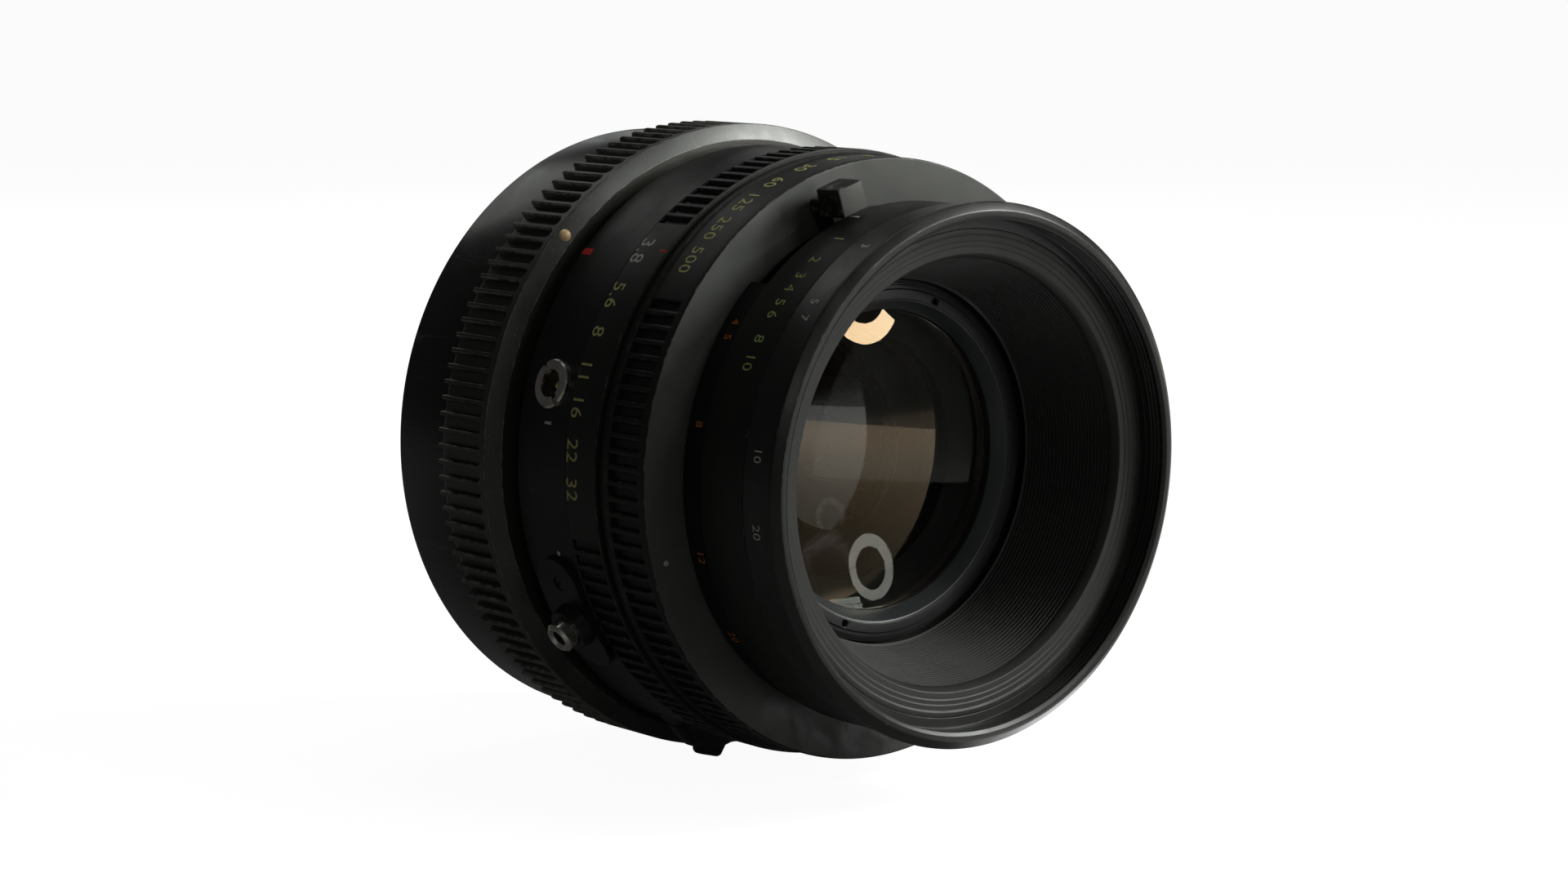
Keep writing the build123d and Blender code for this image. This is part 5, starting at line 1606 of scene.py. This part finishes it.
@dataclass
class KeptNodes:
    """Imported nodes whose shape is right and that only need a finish."""

    nodes: dict[str, list[str]] = field(
        default_factory=lambda: {
            "barrel_black": ["main_barrel", "release_pad"],
            "seat_steel": ["mount_flange"],
            "insulator": ["sync_core"],
            "socket_silver": ["sync_sleeve", "release_sleeve"],
            "contact_brass": ["sync_pin", "release_pin"],
            "lever_black": ["pad_screw", "time_lever"],
            "inner_black": ["rear_spacer", "rear_cell", "rear_retainer", "shutter_case", "cover_plate"],
            "screw_steel": ["click_ball", "cocking_ring", *numbered("mount_screw")],
            "blade_steel": ["divider_plate", *numbered("iris_blade"), *numbered("shutter_blade")],
        }
    )
    knob: str = "time_lever"
    rounding: float = 0.7
    rounding_segments: int = 3
    rounded_degrees: float = 40.0

    def dress(self) -> None:
        """Finish the nodes, and round the edges of the lever's knob with a modifier."""
        for finish, nodes in self.nodes.items():
            dress_nodes(finish, *nodes)
        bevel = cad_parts[self.knob].modifiers.new("rounding", "BEVEL")
        bevel.width = self.rounding * MM
        bevel.segments = self.rounding_segments
        bevel.limit_method = "ANGLE"
        bevel.angle_limit = math.radians(self.rounded_degrees)
        LOG.info("kept nodes: %d", sum(map(len, self.nodes.values())))


# Studio, in metres

WHITE: Colour = (1.0, 1.0, 1.0)
DAYLIGHT: Colour = (0.965, 1.0, 0.945)
COOL_WHITE: Colour = (0.95, 1.0, 0.97)
CANDLE: Colour = (1.0, 0.85, 0.65)
LENS_MIDDLE = (0.03, 0.0, 0.0)


@dataclass(frozen=True)
class Lamp:
    """A soft square lamp: where it stands, what it faces, its size in metres and its power in watts."""

    name: str
    place: Colour
    target: Colour
    width: float
    height: float
    power: float
    colour: Colour

    def build(self) -> None:
        """Add the lamp to the scene."""
        light = bpy.data.lights.new(self.name, "AREA")
        light.shape = "RECTANGLE"
        light.size = self.width
        light.size_y = self.height
        light.energy = self.power
        light.color = self.colour
        holder = add_object(self.name, light)
        holder.location = self.place
        facing = Vector(self.target) - Vector(self.place)
        holder.rotation_euler = facing.to_track_quat("-Z", "Y").to_euler()


@dataclass(frozen=True)
class RingLamp:
    """A lamp in the shape of a flat ring, which the glass and the bevels mirror."""

    azimuth: float = 39.5
    elevation: float = 14.0
    distance: float = 0.62
    target: Colour = (0.04, 0.0, 0.0)
    outer_r: float = 0.082
    inner_r: float = 0.053
    radiance: float = 19.0
    colour: Colour = (1.0, 0.985, 0.95)
    sides: int = 64

    def build(self) -> None:
        """Add the glowing ring, which the camera itself doesn't see."""
        azimuth, elevation = math.radians(self.azimuth), math.radians(self.elevation)
        level = math.cos(elevation)
        away = Vector((level * math.cos(azimuth), level * math.sin(azimuth), math.sin(elevation)))
        side = Vector((0.0, 0.0, 1.0)).cross(away).normalized()
        rise = away.cross(side)
        centre = Vector(self.target) + away * self.distance
        angle = np.linspace(0.0, 2 * np.pi, self.sides, endpoint=False)
        flat = np.outer(np.cos(angle), np.array(side)) + np.outer(np.sin(angle), np.array(rise))
        points = np.concatenate([flat * self.outer_r, flat * self.inner_r]) + np.array(centre)
        low = np.arange(self.sides)
        following = np.roll(low, -1)
        faces = np.stack([low, low + self.sides, following + self.sides, following], axis=1).tolist()
        mesh = bpy.data.meshes.new("ring_lamp")
        mesh.from_pydata(points.tolist(), [], faces)
        material = bpy.data.materials.new("ring_lamp_glow")
        bench = cleared(material)
        glow = bench.add("ShaderNodeEmission", {"Color": opaque(self.colour), "Strength": self.radiance})
        bench.add("ShaderNodeOutputMaterial", {"Surface": glow.outputs[0]})
        mesh.materials.append(material)
        lamp = add_object("ring_lamp", mesh)
        lamp.visible_camera = False
        lamp.visible_shadow = False


@dataclass
class Studio:
    """Camera, floor, world and lamps."""

    camera_place: Colour = (0.43281, -0.34949, 0.07835)
    camera_right: Colour = (0.64529392, 0.76393439, 0.0)
    camera_up: Colour = (-0.10878578, 0.09189114, 0.98980891)
    camera_look: Colour = (-0.75614907, 0.63871767, -0.14240199)
    focal_length: float = 78.75
    sensor_width: float = 36.0
    nearest: float = 0.01
    farthest: float = 500.0
    floor_z: float = -0.0508
    floor_size: float = 120.0
    floor_colour: float = 0.20
    camera_glow: float = 0.95
    mirror_glow_near: float = 0.03
    mirror_glow_far: float = 0.98
    glow_towards: Colour = (0.12, 0.99, 0.0)
    glow_start: float = 0.04
    glow_end: float = 0.34
    table_towards: Colour = (-0.17, 0.985, 0.0)
    table_edge: float = 0.36
    bright_spot: Colour = (0.068, 0.036, -0.0508)
    bright_core: float = 0.012
    bright_reach: float = 0.034
    bright_glow: float = 3.5
    world_fill: float = 0.06
    world_mirror: float = 0.036
    ring_lamp: RingLamp = RingLamp()
    lamps: tuple = (
        Lamp("window_panel", (0.46, 0.62, 0.44), LENS_MIDDLE, 0.3, 0.3, 6.5, DAYLIGHT),
        Lamp("front_card", (0.71, 0.22, 0.50), LENS_MIDDLE, 0.22, 0.22, 0.7, DAYLIGHT),
        Lamp("left_card", (0.80, -0.46, 0.35), (0.05, 0.0, 0.0), 0.25, 0.18, 0.24, DAYLIGHT),
        Lamp("sky_panel", (-0.1, 0.2, 0.95), LENS_MIDDLE, 0.6, 0.6, 1.25, DAYLIGHT),
        Lamp("sweep_card", (-0.96, 0.135, 0.70), (0.0, 0.0, 0.0), 0.45, 0.4, 0.42, DAYLIGHT),
        Lamp("rear_card", (-1.05, 0.66, 0.33), (0.0, 0.0, 0.0), 0.75, 0.32, 0.35, COOL_WHITE),
        Lamp("right_card", (-0.05, 0.85, -0.02), LENS_MIDDLE, 0.25, 0.1, 0.25, CANDLE),
    )

    def build(self) -> None:
        """Set up everything round the lens."""
        self.build_camera()
        self.build_floor()
        self.build_world()
        self.ring_lamp.build()
        for lamp in self.lamps:
            lamp.build()
        bpy.context.scene.view_settings.view_transform = "Standard"

    def build_camera(self) -> None:
        """Place the camera at the photograph's viewing angle."""
        data = bpy.data.cameras.new("camera")
        data.lens = self.focal_length
        data.sensor_width = self.sensor_width
        data.clip_start = self.nearest
        data.clip_end = self.farthest
        camera = add_object("camera", data)
        axes = (Vector(self.camera_right), Vector(self.camera_up), -Vector(self.camera_look))
        turned = Matrix(axes).transposed().to_4x4()
        camera.matrix_world = Matrix.Translation(Vector(self.camera_place)) @ turned
        bpy.context.scene.camera = camera

    def build_floor(self) -> None:
        """A plain pale floor that the camera sees near white and that keeps the lens's shadow.

        Metal and glass see it brighter where it lies in front of the lens, on the side of the lamp, up to the
        table's edge, and in a small spot under the rim.
        """
        half = self.floor_size / 2
        corners = [(-half, -half), (half, -half), (half, half), (-half, half)]
        mesh = bpy.data.meshes.new("floor")
        mesh.from_pydata([(x, y, self.floor_z) for x, y in corners], [], [[0, 1, 2, 3]])
        material, bench, shader = new_material("floor_paper")
        place = bench.add("ShaderNodeTexCoord").outputs["Object"]
        toward = bench.vector("DOT_PRODUCT", place, self.glow_towards)
        across = bench.vector("DOT_PRODUCT", place, self.table_towards)
        apart = bench.vector("DISTANCE", place, self.bright_spot)
        lit = bench.ramp(toward, self.glow_start, self.glow_end, self.mirror_glow_near, self.mirror_glow_far)
        lit = bench.math("MULTIPLY", lit, bench.math("LESS_THAN", across, self.table_edge))
        spot = bench.ramp(apart, self.bright_core, self.bright_reach, self.bright_glow, 0.0)
        mirrored = bench.math("MULTIPLY", bench.mirroring(), bench.math("ADD", lit, spot))
        rays = bench.add("ShaderNodeLightPath").outputs
        seen = bench.math("MULTIPLY", rays["Is Camera Ray"], self.camera_glow)
        paper = opaque((self.floor_colour,) * 3)
        bench.fill(shader, {"Base Color": paper, "Roughness": 0.9, "Specular IOR Level": 0.0})
        glow = bench.math("MAXIMUM", seen, mirrored)
        bench.fill(shader, {"Emission Color": opaque(WHITE), "Emission Strength": glow})
        mesh.materials.append(material)
        floor = add_object("floor", mesh)

    def build_world(self) -> None:
        """White for the camera, dim for light and reflections."""
        world = bpy.data.worlds.new("studio")
        bench = cleared(world)
        rays = bench.add("ShaderNodeLightPath").outputs
        mirrored = bench.math("MULTIPLY", bench.mirroring(), self.world_mirror)
        seen = bench.math("MAXIMUM", rays["Is Camera Ray"], mirrored)
        strength = bench.math("MAXIMUM", seen, bench.math("MULTIPLY", rays["Is Diffuse Ray"], self.world_fill))
        light = bench.add("ShaderNodeBackground", {"Color": opaque(WHITE), "Strength": strength})
        bench.add("ShaderNodeOutputWorld", {"Surface": light.outputs[0]})
        bpy.context.scene.world = world


def main() -> None:
    """Build the studio and every sub-assembly in order."""
    logging.basicConfig(level=logging.INFO, format="%(name)s %(message)s")
    EFFECTS.build()
    FINISHES.update((kind.name, kind.material()) for kind in FINISH_KINDS)
    Studio().build()
    rings = [RearCap(), BreechRing(), ApertureRing(), SpeedRing(), DepthRing(), PreviewTab(), FilterRing()]
    for assembly in [*rings, Baffle(), Retainer(), ThumbRest(), *GLASSES, *PAINTED]:
        assembly.dress(assembly.build())
    KeptNodes().dress()


if __name__ == "__main__":
    main()
